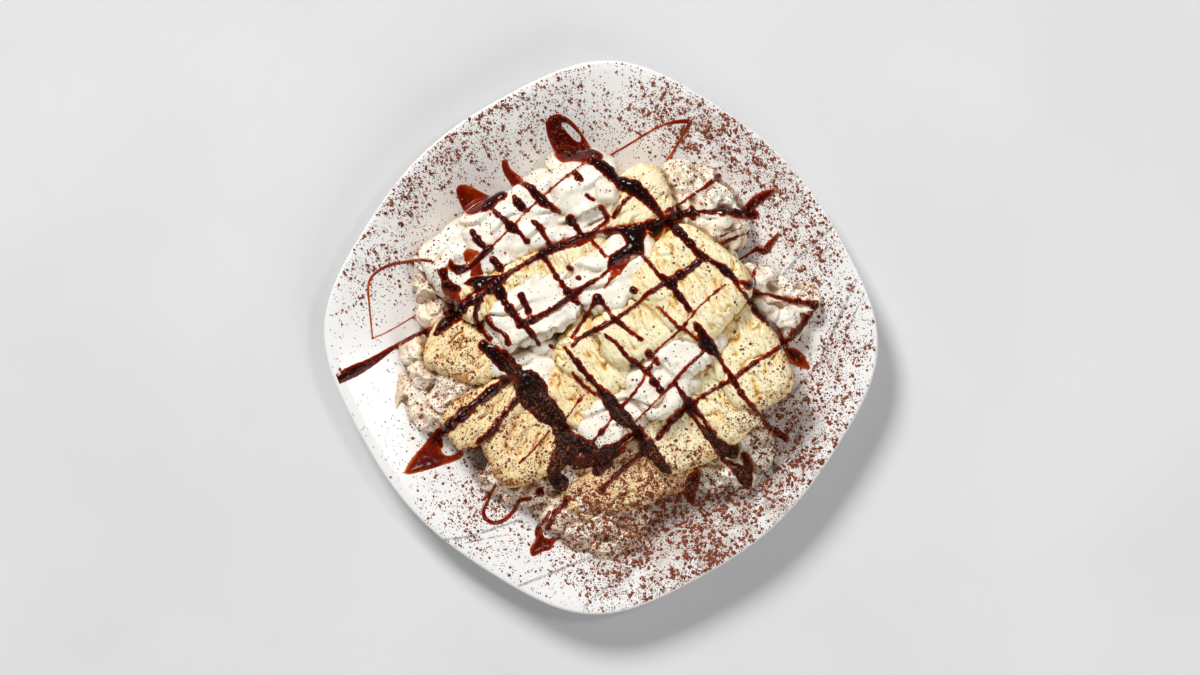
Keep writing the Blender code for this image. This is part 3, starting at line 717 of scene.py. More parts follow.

# %% [markdown]
# Scraped ice cream comes off in thin layers with a ragged edge, and its soft face tears in short
# cracks beside them. A crack runs where a stretched and bent noise changes its sign, and a second noise
# lets it end again. Every slab was scraped its own way, so the direction of the cracks is given for
# each. Cracks, chips and the low side of each layer get painted shade. The finest cracks are left to
# the finish, which follows the same bent coordinates.

# %% The relief of scraped ice cream
CRACK_TURNS = {
    "ice_cream_middle": -62, "ice_cream_upper": 48, "ice_cream_right": -72, "ice_cream_strip": -70,
    "ice_cream_centre_left": -55, "ice_cream_lower_right": -60, "ice_cream_centre_low": -60,
    "ice_cream_left": 60, "ice_cream_low": -65, "ice_cream_lower_left": 62,
    "ice_cream_front_left": 75, "banana_half": 25,
}
CRACK_SPACING = 5.0
CRACK_DEPTH = 1.5
LAYER_SPACING = 8.0
LAYER_DROP = 0.1
LAYER_HEIGHT = 1.5
CHIP_DEPTH = 0.9


def scraped_rule(turn):
    back = Matrix.Rotation(-math.radians(turn), 3, "Z")

    def rule(point, normal):
        bent = back @ (point + noise.noise_vector(point / 7.0) * 2.2 + noise.noise_vector(point / 2.4) * 0.5)
        wave = noise.noise(Vector((bent.x / (3.5 * CRACK_SPACING), bent.y / CRACK_SPACING, bent.z / 9.0)))
        open_here = soft_step(noise.noise(point / 6.5), -0.25, 0.1)
        crack = open_here * max(0.0, 1.0 - abs(wave) / 0.1)
        broad = noise.noise(point / 11.0)
        scoop = noise.noise(Vector((bent.x / 16.0, bent.y / 6.0, bent.z / 10.0)))
        crumb = noise.voronoi((point + noise.noise_vector(point / 2.0) * 0.6) / 2.0)[0][0]
        fine = noise.noise(point / 0.9)
        chip = max(0.0, noise.noise(point / 4.2 + Vector((0.0, 7.0, 0.0))) - 0.12)
        share = (bent.y / LAYER_SPACING + 0.7 * noise.noise(point / 9.0)) % 1.0
        present = soft_step(noise.noise(point / 10.0 + Vector((3.0, 0.0, 0.0))), -0.2, 0.3)
        layer = present * (ledge(share, LAYER_DROP) - 0.5)
        height = (0.6 * broad + 0.6 * scoop + LAYER_HEIGHT * layer - CRACK_DEPTH * crack
                  + 0.3 * (0.35 - crumb * crumb) + 0.2 * fine - CHIP_DEPTH * chip)
        # Painted shade in cracks, chips and between crumbs, more below each layer's edge and less on broad
        # rises.
        hollow = 0.75 * crack + 0.4 * max(0.0, crumb - 0.6) - 0.3 * broad - 0.3 * scoop + 0.5 * chip
        return height, hollow - 0.6 * min(layer, 0.0) * (share > 0.5), bent

    return rule


print("ice cream relief at the origin:", scraped_rule(0.0)(Vector((0.0, 0.0, 40.0)), None)[:2])

# %% [markdown]
# Every piece is melted from its lumps and then given the relief of its kind. The name of the finished
# piece says which kind it is: scraped, spooned or ruffled.

# %% Make all the food
food = {}
for name, lumps in {**ICE_CREAM, **BANANA}.items():
    food[name] = make_food(name + "_scraped", lumps)
    relieve(food[name], scraped_rule(CRACK_TURNS[name]))
for name, lumps in CREAM.items():
    food[name] = make_food(name + "_spooned", lumps)
    relieve(food[name], spooned)
for name, lumps in RUFFLES.items():
    food[name] = make_food(name + "_ruffled", lumps)
    relieve(food[name], ruffled)
print("faces of food:", sum(len(piece.data.polygons) for piece in food.values()))

# %% [markdown]
# Sauce and cocoa lie on whatever is uppermost, so the surface is measured once as a grid of heights
# seen from above. Thin sauce follows that surface where it is higher than a blurred copy of itself,
# and bridges it elsewhere. Thick sauce lies on a smoother copy still, so cracks don't show through it.

# %% Measure the surface from above
GRID_HALF = 141.0
GRID_STEP = 0.5
GRID_COUNT = int(2 * GRID_HALF / GRID_STEP) + 1
DOWN = Vector((0.0, 0.0, -1.0))
RAY_START = 0.1
BRIDGE_REACH = 1.1
SMOOTH_REACH = 0.8


def height_grid(pieces):
    points, faces = [], []
    for piece in pieces:
        first = len(points)
        points.extend(vertex.co.copy() for vertex in piece.data.vertices)
        faces.extend([first + i for i in face.vertices] for face in piece.data.polygons)
    tree = BVHTree.FromPolygons(points, faces)
    marks = (np.arange(GRID_COUNT) * GRID_STEP - GRID_HALF) * MM
    grid = np.zeros((GRID_COUNT, GRID_COUNT))
    for row, y in enumerate(marks):
        for column, x in enumerate(marks):
            hit = tree.ray_cast(Vector((x, y, RAY_START)), DOWN)[0]
            if hit is not None:
                grid[row, column] = hit.z / MM
    return grid


def read_grid(grid, x, y, step=GRID_STEP):
    """The grid's value at any points, from the four marks round each."""
    u, v = (np.clip((place + GRID_HALF) / step, 0, len(grid) - 1.001) for place in (x, y))
    i, j = v.astype(int), u.astype(int)
    s, t = v - i, u - j
    return ((1 - s) * (1 - t) * grid[i, j] + (1 - s) * t * grid[i, j + 1]
            + s * (1 - t) * grid[i + 1, j] + s * t * grid[i + 1, j + 1])


def averaged(grid, weights):
    for axis in (0, 1):
        grid = np.apply_along_axis(np.convolve, axis, grid, weights, "same")
    return grid


def blurred(grid, reach):
    marks = np.arange(-3 * reach, 3 * reach + GRID_STEP, GRID_STEP)
    weights = np.exp(-0.5 * (marks / reach) ** 2)
    return averaged(grid, weights / weights.sum())


ground = height_grid([plate, *food.values()])
bridged = np.maximum(ground, blurred(ground, BRIDGE_REACH))
smoothed = blurred(bridged, SMOOTH_REACH)
print("highest point", round(ground.max(), 1), "mm")

# %% [markdown]
# Between two pieces less light arrives, so the cream is given painted shade there. Two blurred copies of the
# surface tell how far a point lies under its surroundings, near and far. A face that looks up gets the full
# painted shade, and one that looks sideways less. The foot of a piece gets a little painted shade on every
# side.

# %% Paint shade into the hollows between pieces
CAVE_REACH = 4.0
CAVE_DEPTH = 9.0
GAP_REACH = 1.4
GAP_DEPTH = 3.0
FOOT_HEIGHT = 9.0

wide, narrow = blurred(ground, CAVE_REACH), blurred(ground, GAP_REACH)
for piece in food.values():
    spots = read_points(piece.data)
    hollow = np.empty(len(spots))
    piece.data.attributes["hollow"].data.foreach_get("value", hollow)
    cave = (read_grid(wide, spots[:, 0], spots[:, 1]) - spots[:, 2]) / CAVE_DEPTH
    gap = (read_grid(narrow, spots[:, 0], spots[:, 1]) - spots[:, 2]) / GAP_DEPTH
    low = 1.0 - (spots[:, 2] - plate_height(spots[:, 0], spots[:, 1])) / FOOT_HEIGHT
    facing_up = np.clip(1.6 * read_normals(piece.data)[:, 2], 0.3, 1.0)
    # Painted shade from caves, gaps and the foot is added to the shade that the relief gave.
    hollow += facing_up * (0.8 * np.clip(cave - 0.2, -0.1, 1.0) + 0.7 * np.clip(gap - 0.1, 0.0, 1.0))
    store(piece.data, "hollow", np.clip(hollow + 0.25 * np.clip(low, 0.0, 1.0), 0.0, 1.0))
print("deepest point under its surroundings:", round((wide - ground).max(), 1), "mm")

# %% [markdown]
# The sauce was poured to and fro, so most of its strands run one of two ways. Each is listed as
# a row of (x, y, width) points, in millimetres and seen from above. First comes what lies on
# the rim of the plate: pools are given by their thickness and outline, and one holds a bare patch.

# %% Sauce on the plate
POOLS = (
    (0.65, ((-27.3, 105.2), (-24.8, 107.9), (-20.5, 109.1), (-16.1, 107.1), (-12.2, 103.7), (-8.3, 98.4),
     (-4.9, 93), (-1.5, 88.6), (0.5, 84.7), (-5.4, 83.3), (-12.7, 84.7), (-18.5, 84.7), (-21.9, 87.2),
     (-23.9, 93), (-26.3, 98.9))),
    (0.28, ((-70.7, 72.6), (-69.6, 74.3), (-66.7, 74.8), (-62.8, 73.5), (-58, 70.9), (-53.1, 68.7),
     (-49.2, 67.2), (-50.6, 63.8), (-55, 60.9), (-59.9, 59.9), (-63.8, 59.4), (-66.7, 61.4),
     (-69.2, 66.2), (-70.6, 70.1))),
    (0.5, ((-48.5, 86.2), (-47.2, 87.2), (-45.8, 86.2), (-44.3, 82.8), (-40.9, 79.9), (-37.5, 77.4),
     (-39.9, 75), (-42.9, 73.1), (-44.8, 76), (-47.2, 79.9), (-48.5, 83.8))),
    (0.6, ((-96.2, -66), (-93.5, -66.7), (-88.1, -65.5), (-82.3, -64), (-76.5, -62.1), (-70.6, -60.1),
     (-67.7, -58), (-72.6, -58.4), (-76.5, -57.5), (-78.9, -54.1), (-78.4, -49.2), (-76.9, -44.8),
     (-79.9, -44.6), (-83.3, -48.2), (-88.1, -54.1), (-93, -59.9))),
    (0.8, ((-30.9, -95.8), (-29.2, -94.5), (-26.6, -98), (-18.7, -97.5), (-22.2, -99.7), (-24.8, -103.6),
     (-28.3, -104.5), (-32.7, -106.7), (-34.4, -105.8), (-34.4, -101.9))),
)
BARE = (
    ((-19.5, 105.2), (-16.6, 104.7), (-13.1, 101.8), (-10.2, 98.4), (-10.2, 95.9), (-12.7, 96.4),
     (-16.1, 99.8), (-19, 102.8)),
)
RIM_FILMS = (
    ((90.5, -6.5, 3), (94.5, -9, 7), (98.5, -12.5, 5), (101, -14.5, 2.5)),
)
RIM_STRANDS = (
    ((-19, 91, 4), (-14, 89, 8), (-7, 90, 6), (-1, 87, 4)),
    ((-128.6, -20.5, 4.6), (-124.7, -18.5, 5.8), (-119.3, -15.8, 5.8), (-114, -13.1, 4.9),
     (-108.6, -9.7, 3.7), (-103.7, -6.3, 2.7), (-98.9, -3.4, 2.2), (-94, -0.7, 2.2), (-89.6, 1.5, 2.4),
     (-84, 4, 2.6)),
    ((-40.5, 75, 2.4), (-37.5, 74.4, 3), (-34.5, 72.5, 3.4)),
    ((-78.5, -53, 3), (-80, -49.5, 4), (-78.5, -46, 4)),
    ((-77, -60, 2.4), (-72.5, -59, 2.2), (-68, -57, 1.8)),
    ((-78, -50, 1.5), (-79, -55, 1.5), (-76, -58.5, 1.5), (-71, -57.5, 1.5), (-65, -54, 1.5),
     (-58, -54.5, 1.5)),
    ((-51.5, -72, 1.6), (-55, -78.5, 1.9), (-57.5, -85, 2), (-55.5, -89, 2), (-51.5, -90.5, 2),
     (-46.5, -88.5, 2), (-42, -84, 2), (-39.5, -79.5, 2), (-34.5, -78.5, 1.6)),
    ((-31, -96, 3), (-30.5, -92.8, 2.2), (-27.5, -89, 1.6), (-25, -85, 1.8)),
    ((46, -66, 3), (44.5, -70, 7), (43.5, -76, 6), (45, -81, 2.5)),
    ((90.5, -6.5, 3), (94.5, -9, 5), (98, -12, 3.4)),
    ((65, 36.5, 0.9), (72.5, 41, 1.2), (77, 43.5, 3), (80, 42.5, 4), (83, 46, 3.2), (86.5, 50.5, 1.6)),
    ((66, 60.5, 5), (71, 60.5, 6), (75, 60, 5)),
    ((71, 62, 5), (76, 67, 5), (80, 69.5, 4.4), (83.5, 71.5, 3)),
    ((50.5, 73, 2), (54, 76, 2.5), (57.5, 79, 2.5)),
)
RIM_THREADS = (
    ((3, 88.5, 0.9), (12, 93.5, 0.9), (22, 99.5, 1), (31, 104, 1.3), (41, 105.5, 2), (43, 104, 2),
     (39.5, 98, 1.3), (36, 92, 1.2), (32.5, 86.5, 1.8)),
    ((-81, 36.5, 0.8), (-88, 37.5, 1.6), (-98, 36.5, 1.6), (-105, 34.5, 1.5), (-111, 30.5, 1.3),
     (-113.5, 25, 1.1), (-113, 15.5, 0.9), (-111.5, -0.5, 0.8)),
    ((-111.5, -0.5, 0.6), (-103, 3.5, 0.6), (-90.5, 11, 0.7)),
)
print(len(RIM_FILMS) + len(RIM_STRANDS) + len(RIM_THREADS), "strands on the rim")

# %% Sauce that runs from the lower left to the upper right
RISING = (
    ((-57, 62, 3), (-54, 64.5, 5), (-51, 67, 5), (-47, 69.5, 4)),
    ((-52.5, 44, 0.8), (-34.5, 62, 0.8), (-20, 75, 0.8), (-5, 86, 0.8)),
    ((-66.5, 17.6, 1), (-61, 21.5, 1.6), (-54, 26, 2), (-49, 29.5, 2)),
    ((-80, 2, 2.5), (-76, 6, 5), (-71, 11, 7), (-64, 16.5, 3.4), (-56.5, 21, 2.4), (-49, 27, 4),
     (-42, 32.5, 2.4), (-34.5, 36.5, 2.4), (-27, 41, 4), (-20, 44, 3.4), (-10, 48, 3), (0, 51, 2),
     (4.5, 51.5, 3.4), (21.5, 54, 4.4), (31, 57, 4), (38.5, 59.5, 4), (48, 60.5, 2.4), (58, 61, 3),
     (65, 61, 3)),
    ((5, 28.5, 1.6), (1.7, 23.7, 0.8)),
    ((-26.2, -93.6, 2.4), (-24, -89, 2), (-22.2, -84.9, 2.6), (-18.7, -81.5, 2), (-16, -78, 2.6)),
    ((-39.5, 6, 4), (-34.5, 8, 4), (-27, 11.5, 3), (-20, 16, 2.4), (-15, 19.5, 3), (-8, 24.5, 2),
     (-0.5, 29, 1.6), (5, 33.5, 1.6)),
    ((-14, -4, 2), (-9, 0.5, 2.4), (-0.5, 4.5, 3), (7, 9, 2.4), (15, 14.5, 1.6), (24, 22, 2.4),
     (30, 25.5, 2.6), (36, 29, 4), (43.5, 33.5, 3.4), (48, 38.5, 2)),
    ((-14, 0, 1.5), (-8, 9, 2.4), (-5, 14, 2), (-1.5, 19, 4)),
    ((26.5, -6.5, 1), (38.5, 4.5, 1.2), (48, 15.5, 1), (59.5, 25.5, 0.9)),
    ((-20, -62, 1.5), (-6.5, -52.5, 1.5), (2, -43, 1.5), (8, -35.5, 1.6), (16.5, -26, 1.5),
     (24, -13.5, 1.5), (27, -10, 2)),
    ((16.5, -40.5, 1), (26.5, -30.5, 1), (34.5, -22, 1.4), (38.5, -17, 2), (44.5, -11, 1.6),
     (50.5, -5.5, 1.6)),
    ((27.5, -48.5, 3), (31, -44.5, 3), (36, -38, 3.4), (43.5, -33, 3), (48, -29, 2.2), (55.5, -24.5, 2),
     (63, -20, 2.4), (70, -15, 2.4), (77.5, -10, 2.2), (85, -5.5, 2.2), (92, -0.5, 3), (97, 4.5, 3),
     (101, 9.5, 2.2)),
    ((-77, -46.5, 3.4), (-71, -40.5, 5), (-65, -35.5, 5), (-59, -30.5, 3.4), (-51.5, -25, 5),
     (-44.5, -20, 4)),
    ((-60, -51, 2.4), (-53, -45.5, 3.8), (-47.5, -38, 2.8), (-42, -31.5, 3.4), (-39.5, -28, 4)),
    ((-40, -61, 0.8), (-32, -53.5, 0.9), (-25, -45.5, 0.8)),
    ((-17.5, -39.5, 0.8), (-12.5, -33, 1), (-8, -27.5, 0.8)),
    ((-0.5, -74.5, 2.4), (9.5, -65, 2.4), (21.5, -55, 2.4)),
    ((-1.5, -65, 5), (2, -57.5, 8), (7, -52.5, 4), (15, -46.5, 2)),
    ((31, 60.5, 1.2), (38.5, 65, 1.2), (43.5, 68.5, 1.4), (50.5, 73, 1.6)),
    ((58, 49, 1), (68, 53.5, 0.8)),
    ((59, 46, 1.6), (70, 50.5, 1)),
)
print(len(RISING), "rising strands")

# %% Sauce that runs from the upper left to the lower right, over the upper half
FALLING_UPPER = (
    ((-51.5, 61, 2), (-47, 57, 2), (-43.5, 53.5, 4.4), (-39.5, 50.5, 2.4), (-35.5, 46, 1.6)),
    ((-42, 68, 2), (-40, 65, 4), (-37.5, 62, 4)),
    ((-62, 51, 3), (-60.5, 48.5, 4), (-57.5, 45, 3), (-55, 42.5, 2.4)),
    ((-52.5, 38, 3), (-50, 35, 3.4), (-48, 32.5, 2.4)),
    ((-34.5, 72.5, 3.4), (-31, 68.5, 4), (-28, 65.5, 5), (-24, 63, 3.4), (-20, 60, 2.4)),
    ((-33, 56, 2), (-29.5, 53, 3.2), (-27, 48.5, 2), (-24, 44.5, 1.6)),
    ((-15, 57, 4.4), (-13, 54, 3), (-8, 49, 2)),
    ((-7, 68.5, 1.6), (-3.5, 66, 2)),
    ((-0.5, 63, 3), (2, 60, 2.4), (3, 56.5, 2), (-1.5, 53, 1.6), (-7, 48.5, 2)),
    ((-12.5, 79, 3.4), (-10, 76, 3.8)),
    ((-6, 86, 3), (-2, 84, 5), (2.5, 81, 6), (6, 77, 4.5), (8.5, 74.5, 4), (11.5, 73.5, 6),
     (16.5, 71.5, 6.8), (21.5, 67, 5.8), (25.5, 63, 4.4), (28.5, 59.5, 3), (30, 56.5, 4)),
    ((15, 68, 1.4), (11.5, 65.5, 2), (8, 61, 2.4), (6.5, 58, 2.8)),
    ((-27.5, 38.5, 3), (-23.5, 32.5, 2), (-19, 26.5, 2.4), (-15, 20.5, 4), (-11, 16.5, 2.6)),
    ((-50, 25, 4.5), (-46, 17, 4.5), (-40.5, 9.5, 3.6), (-34.5, 3.5, 3), (-30, -3, 2)),
    ((-38.5, 20, 4), (-36.5, 16, 4), (-35, 12.5, 3)),
    ((-4.5, 47, 1.6), (-0.5, 42.5, 2), (2, 39, 2)),
    ((30, 56, 4), (36, 52, 4.4), (41, 47, 4), (47, 40, 4), (53, 36.5, 2), (59, 32.5, 4.4), (64, 28, 3),
     (66.5, 23, 2), (72.5, 16.5, 2.4), (76.5, 10.5, 3.4), (82.5, 6, 3), (87, 0, 4), (89.5, -5, 4)),
    ((20, 39, 1.2), (24, 34.5, 2), (28.5, 29.5, 2.8), (33.5, 26, 4), (36, 21.5, 3), (40, 16.5, 3),
     (42.5, 13.5, 3)),
    ((44, 63, 3), (44.5, 58, 2.4)),
    ((76.5, 36.5, 1.2), (74, 31.5, 1.2), (73.5, 25.5, 1.6), (76, 22, 2), (82.5, 20.5, 1.6),
     (89.5, 18.5, 2.6), (99.5, 17, 2.4), (104, 16, 4.6)),
    ((104, 16, 4), (102.5, 12, 2), (97, 6, 2.6), (92, 1, 3)),
    ((67.5, 26.5, 2), (70.5, 25, 4), (73, 27, 3)),
)
print(len(FALLING_UPPER), "falling strands above")

# %% Sauce that runs from the upper left to the lower right, over the lower half
FALLING_LOWER = (
    ((-1.5, 19, 4), (2.5, 14, 2), (6, 9.5, 2.4), (10, 6, 2.4), (15, 2, 2), (19, -0.5, 2.6)),
    ((2.5, 1, 2), (8.5, -4, 2), (13, -10, 2.4), (18, -13, 3), (24, -18.5, 1.6)),
    ((25, -21, 3), (29, -25, 2.4)),
    ((28, 14.5, 1.4), (32.5, 9.5, 1.6), (37, 5, 2), (41, 3.5, 1.6), (46, -1, 1.4)),
    ((45, 7, 1.5), (48, 2.5, 4), (50.5, -3, 6.5), (54.5, -6.5, 4), (57, -10, 2.4), (60.5, -16, 2.4),
     (64, -21, 3), (67.5, -27, 2.4), (71.5, -31.5, 2.4), (76, -37, 2), (80, -41.5, 2.4),
     (84.5, -46, 3.8), (90, -49, 3.4)),
    ((-17.5, -5, 2), (-12.5, -11, 2.4), (-5.5, -19.5, 2.6), (-0.5, -25, 4), (3.5, -29.5, 6.5),
     (8.5, -36.5, 6.5), (14, -42, 5), (19, -46.5, 4.4), (23, -52.5, 7), (28, -60, 5), (33, -65, 3)),
    ((-14, -17, 1.6), (-8, -23, 2), (-3, -27, 2)),
    ((-39.5, -17, 4), (-34.5, -22, 11), (-33, -28, 14), (-27, -34.5, 11), (-22, -39.5, 8), (-19, -45, 7),
     (-16, -52.5, 9), (-20, -59, 8), (-23, -65, 5)),
    ((-15, -50, 7), (-8, -52.5, 7), (-3, -55, 5)),
    ((-23, -68, 6), (-20, -70.5, 7)),
    ((-56.5, -4, 5), (-51.5, -7.5, 7), (-48, -12, 6), (-43, -16, 4)),
    ((-59, 16.5, 2.4), (-60.5, 10.5, 2.4), (-59, 5, 2.8), (-54, 0, 2.8)),
    ((-55, 9.5, 2), (-51.5, 4.5, 2), (-47, 2, 2), (-44.5, -2.5, 3)),
    ((36, -22, 2.4), (39.5, -28, 2.4), (43.5, -33, 4.6), (48, -38, 2), (52, -44.5, 2.4), (54, -48.5, 5),
     (59, -54, 7), (64, -55.5, 7)),
    ((42.5, -35.5, 2), (48, -43, 2), (51.5, -48.5, 2.4)),
    ((-46, -7.5, 2.4), (-42, -12, 2.8), (-38.5, -17, 3)),
    ((59, -59, 2.4), (64, -62.5, 4), (67.5, -65, 7), (70.5, -69, 6), (71.5, -71, 4)),
    ((70, -57.5, 3), (72.5, -64, 4)),
)
FOOD_FILMS = (
    ((-21, 44, 4), (-12, 46.5, 5), (-4, 49, 3.4)),
    ((-48, -9, 4), (-44, -14, 6), (-40, -19, 6)),
    ((-12, -61, 6), (0, -58, 6), (10, -54, 4)),
)
DROPS = ((-58.5, 18.5, 4), (-24, -4, 2), (23, -7.5, 2.4), (15.5, 23, 3.2), (-15, 33.5, 2), (-11, 29, 2.2),
         (27, -12, 2.4), (28.5, -25, 2.2), (-29.5, -75, 3.6))
print(len(FALLING_LOWER), "falling strands below")

# %% [markdown]
# Where much sauce came down in one place it lies on the food as a pool too, and a thin film shows
# beside some of the pools, where they ran off. Both are given by their thickness and outline.

# %% Pools and films on the food
FOOD_POOLS = (
    (2.0, ((7.5, 52.1), (14.6, 54), (20.4, 54.8), (21.9, 50.5), (20.7, 45.9), (20.7, 40), (15.7, 39.3),
     (8.7, 36.1), (3.3, 33.4), (3.7, 38.9), (6, 40.8), (11.4, 44.3), (11.4, 46.3), (9.1, 49.7))),
    (2.0, ((21.9, 54.4), (26, 56.5), (30.1, 56), (30.1, 52.1), (28.1, 48.9), (25.8, 47.4), (22.7, 49.7))),
    (1.8, ((-74, 36), (-72.7, 38.2), (-71, 36), (-67.5, 35), (-62.9, 36.3), (-57.4, 41.8), (-54.4, 44.5),
     (-52.2, 44.5), (-51.8, 42.5), (-56.4, 38.2), (-62.2, 33.4), (-68.8, 30.1), (-71.3, 31.4),
     (-73.6, 33.7))),
    (1.8, ((-77.9, 33.4), (-74.3, 33.7), (-73.6, 29.8), (-71.7, 26.8), (-68.1, 24.5), (-68.8, 22),
     (-76.9, 23.6), (-77.2, 27.5), (-79.2, 32))),
    (1.6, ((-66.8, 25.9), (-64.5, 27.8), (-60.3, 29.5), (-50.2, 30.1), (-46.9, 29.5), (-50.5, 27.5),
     (-57, 23.2), (-61.3, 21), (-61.3, 23.2), (-62.9, 24.9))),
    (0.16, ((6, 35), (13.8, 38.1), (10.7, 32.2), (9.1, 30.3), (4.1, 26.8), (3.3, 28), (4.9, 32.2))),
    (0.16, ((-66.5, 40.5), (-64.9, 42.8), (-61.9, 42.5), (-58.7, 41.5), (-61.6, 38.6), (-64.5, 36.3),
     (-66.1, 37.6))),
    (0.16, ((-62.9, 33), (-58.3, 36), (-58, 33.4), (-57, 30.4), (-62.9, 29.8))),
    (0.2, ((-76.9, 24), (-68.1, 24.5), (-68.8, 22), (-67.5, 17.7), (-71.7, 16.1), (-78.2, 18.4),
     (-75.6, 19.3))),
)
print(len(FOOD_POOLS), "pools and films on the food")

# %% [markdown]
# Liquid finds its own outline: strands that touch run together with a small web in every corner, and
# the edge of a drop meets what it lies on at a low angle. So the sauce is first worked out on a flat
# sheet of marks, seen from above. For each mark the sheet says how deep inside the sauce it lies, in
# millimetres, below nought outside. A sum of exponentials joins the strands, and rounds the corners.

# %% The sheet of marks
SHEET_STEP = 0.44
OUTSIDE = 2.4
FAR_INSIDE = 9.0
WEB = 0.22
RIM_BARE = 2.0
SHEET_MARKS = np.arange(-GRID_HALF, GRID_HALF, SHEET_STEP)
SHEET_X, SHEET_Y = np.meshgrid(SHEET_MARKS, SHEET_MARKS)


def part_of_sheet(points, reach):
    """The rows and columns of the sheet within reach of some points."""
    low = ((points[:, :2].min(axis=0) - reach + GRID_HALF) / SHEET_STEP).astype(int)
    high = ((points[:, :2].max(axis=0) + reach + GRID_HALF) / SHEET_STEP).astype(int) + 2
    return slice(low[1], high[1]), slice(low[0], high[0])


def nearest_on(x, y, start, end):
    """For each mark, its distance from a straight run and how far along the nearest point lies."""
    run = end[:2] - start[:2]
    share = np.clip(((x - start[0]) * run[0] + (y - start[1]) * run[1]) / max(run @ run, 1e-9), 0.0, 1.0)
    return np.hypot(x - start[0] - share * run[0], y - start[1] - share * run[1]), share


def depth_in_strand(path, box):
    deep = np.full(SHEET_X.shape, -OUTSIDE)
    for start, end in zip(path, path[1:]):
        near = part_of_sheet(np.array((start, end)), max(start[2], end[2]) + OUTSIDE)
        away, share = nearest_on(SHEET_X[near], SHEET_Y[near], start, end)
        deep[near] = np.maximum(deep[near], start[2] + share * (end[2] - start[2]) - away)
    return deep[box]


def depth_in_outline(outline, box):
    x, y = SHEET_X[box], SHEET_Y[box]
    away, inside = np.full(x.shape, np.inf), np.zeros(x.shape, bool)
    for start, end in zip(outline, np.roll(outline, -1, axis=0)):
        away = np.minimum(away, nearest_on(x, y, start, end)[0])
        crossed = (start[1] > y) != (end[1] > y)
        if crossed.any():
            inside ^= crossed & (x < (end[0] - start[0]) * (y - start[1]) / (end[1] - start[1]) + start[0])
    return np.maximum(np.where(inside, away, -away), -OUTSIDE)


print("the sheet has", SHEET_X.size, "marks")

# %% [markdown]
# A sheet keeps two values for each mark: the sum that gives the outline, and the rise of the sauce.
# The rise starts with the slope of the edge and levels out at the thickness that this sauce reaches.
# On the smooth plate a strand has clean edges. On food it swells and thins and wanders a little.

# %% Lay strands and pools on a sheet
PATH_STEP = 0.6
OUTLINE_STEP = 0.8
THINNEST = 0.26


def new_sheet():
    """An empty sheet: everywhere as far outside as is measured, and with no rise."""
    return {"sum": np.full(SHEET_X.shape, np.exp(-OUTSIDE / WEB)), "rise": np.zeros(SHEET_X.shape)}


def lay(sheet, deep, box, thickness, edge):
    """Add a form to a sheet: its edge climbs at the slope edge, up to its thickness."""
    sheet["sum"][box] += np.exp(deep / WEB)
    rise = thickness * np.tanh(edge * np.maximum(deep, 0.0) / thickness)
    sheet["rise"][box] = np.maximum(sheet["rise"][box], rise)


def lay_strands(sheet, strands, thickness, edge, unrest):
    """Lay strands, which the noise moves, swells and beads as much as their unrest says."""
    for number, points in enumerate(strands):
        path = np.array(along(points, PATH_STEP))
        for row in path:
            place = Vector((row[0], row[1], 9.0 * number))
            row[:2] += np.array(noise.noise_vector(place / 3.0)[:2]) * 0.5 * unrest
            bead = 1.4 * max(0.0, noise.noise(place / 4.0) - 0.15)
            half = row[2] / 2.0 * (1.0 + 0.5 * unrest * noise.noise(place / 1.7))
            row[2] = max(THINNEST, half + unrest * bead)
        box = part_of_sheet(path, path[:, 2].max() + OUTSIDE)
        lay(sheet, depth_in_strand(path, box), box, thickness, edge)


def closed_outline(points):
    return np.array(along(points + points[:1], OUTLINE_STEP)[:-1])


def lay_pools(sheet, pools, edge):
    for thickness, points in pools:
        pool = closed_outline(points)
        box = part_of_sheet(pool, OUTSIDE)
        lay(sheet, depth_in_outline(pool, box), box, thickness, edge)


def outline_of(sheet):
    """How deep inside the sauce each mark lies."""
    return WEB * np.log(sheet["sum"])


def fray(sheet, reach):
    """Let the outline wander in and out, as it does where sauce creeps over a rough surface."""
    for i, j in np.argwhere(outline_of(sheet) > -1.0):
        place = Vector((SHEET_MARKS[j], SHEET_MARKS[i], 0.0))
        shift = reach * (noise.noise(place / 0.9) + 1.2 * noise.noise(place / 2.4))
        sheet["sum"][i, j] *= math.exp(shift / WEB)


def meet(sheet, box, deep):
    """Keep the sauce of a part of the sheet inside another outline."""
    sheet["sum"][box] = np.minimum(sheet["sum"][box], np.exp(deep / WEB))


print("the thinnest strand is", 2 * THINNEST, "mm wide")

# %% [markdown]
# The food gets films first, then pools and then strands, and the plate gets its pools first. The order
# hardly shows: a mark keeps the highest rise laid on it. Drops are strands with hardly any length. No
# sauce comes near the plate's lip, and one patch inside the pool at the back stays bare.

# %% Lay all the sauce
sheet_on_plate, sheet_on_food = new_sheet(), new_sheet()
lay_strands(sheet_on_food, FOOD_FILMS, thickness=0.22, edge=0.3, unrest=0.8)
lay_pools(sheet_on_food, FOOD_POOLS, edge=0.9)
lay_pools(sheet_on_plate, POOLS, edge=0.35)
lay_strands(sheet_on_plate, RIM_FILMS, thickness=0.6, edge=0.3, unrest=0.3)
lay_strands(sheet_on_plate, RIM_STRANDS, thickness=1.5, edge=0.6, unrest=0.2)
lay_strands(sheet_on_plate, RIM_THREADS, thickness=0.8, edge=0.5, unrest=0.15)
drops = [((x - 0.4, y, w), (x, y - 0.3, w * 1.1), (x + 0.5, y - 0.6, w)) for x, y, w in DROPS]
for strands in (RISING, FALLING_UPPER, FALLING_LOWER, drops):
    lay_strands(sheet_on_food, strands, thickness=2.0, edge=0.9, unrest=1.0)
fray(sheet_on_food, reach=0.3)
inner = rim_reach(np.arctan2(SHEET_Y, SHEET_X)) - np.hypot(SHEET_X, SHEET_Y) - RIM_BARE
meet(sheet_on_plate, slice(None), np.clip(inner, -OUTSIDE, FAR_INSIDE))
for points in BARE:
    patch = closed_outline(points)
    box = part_of_sheet(patch, OUTSIDE)
    meet(sheet_on_plate, box, -depth_in_outline(patch, box))
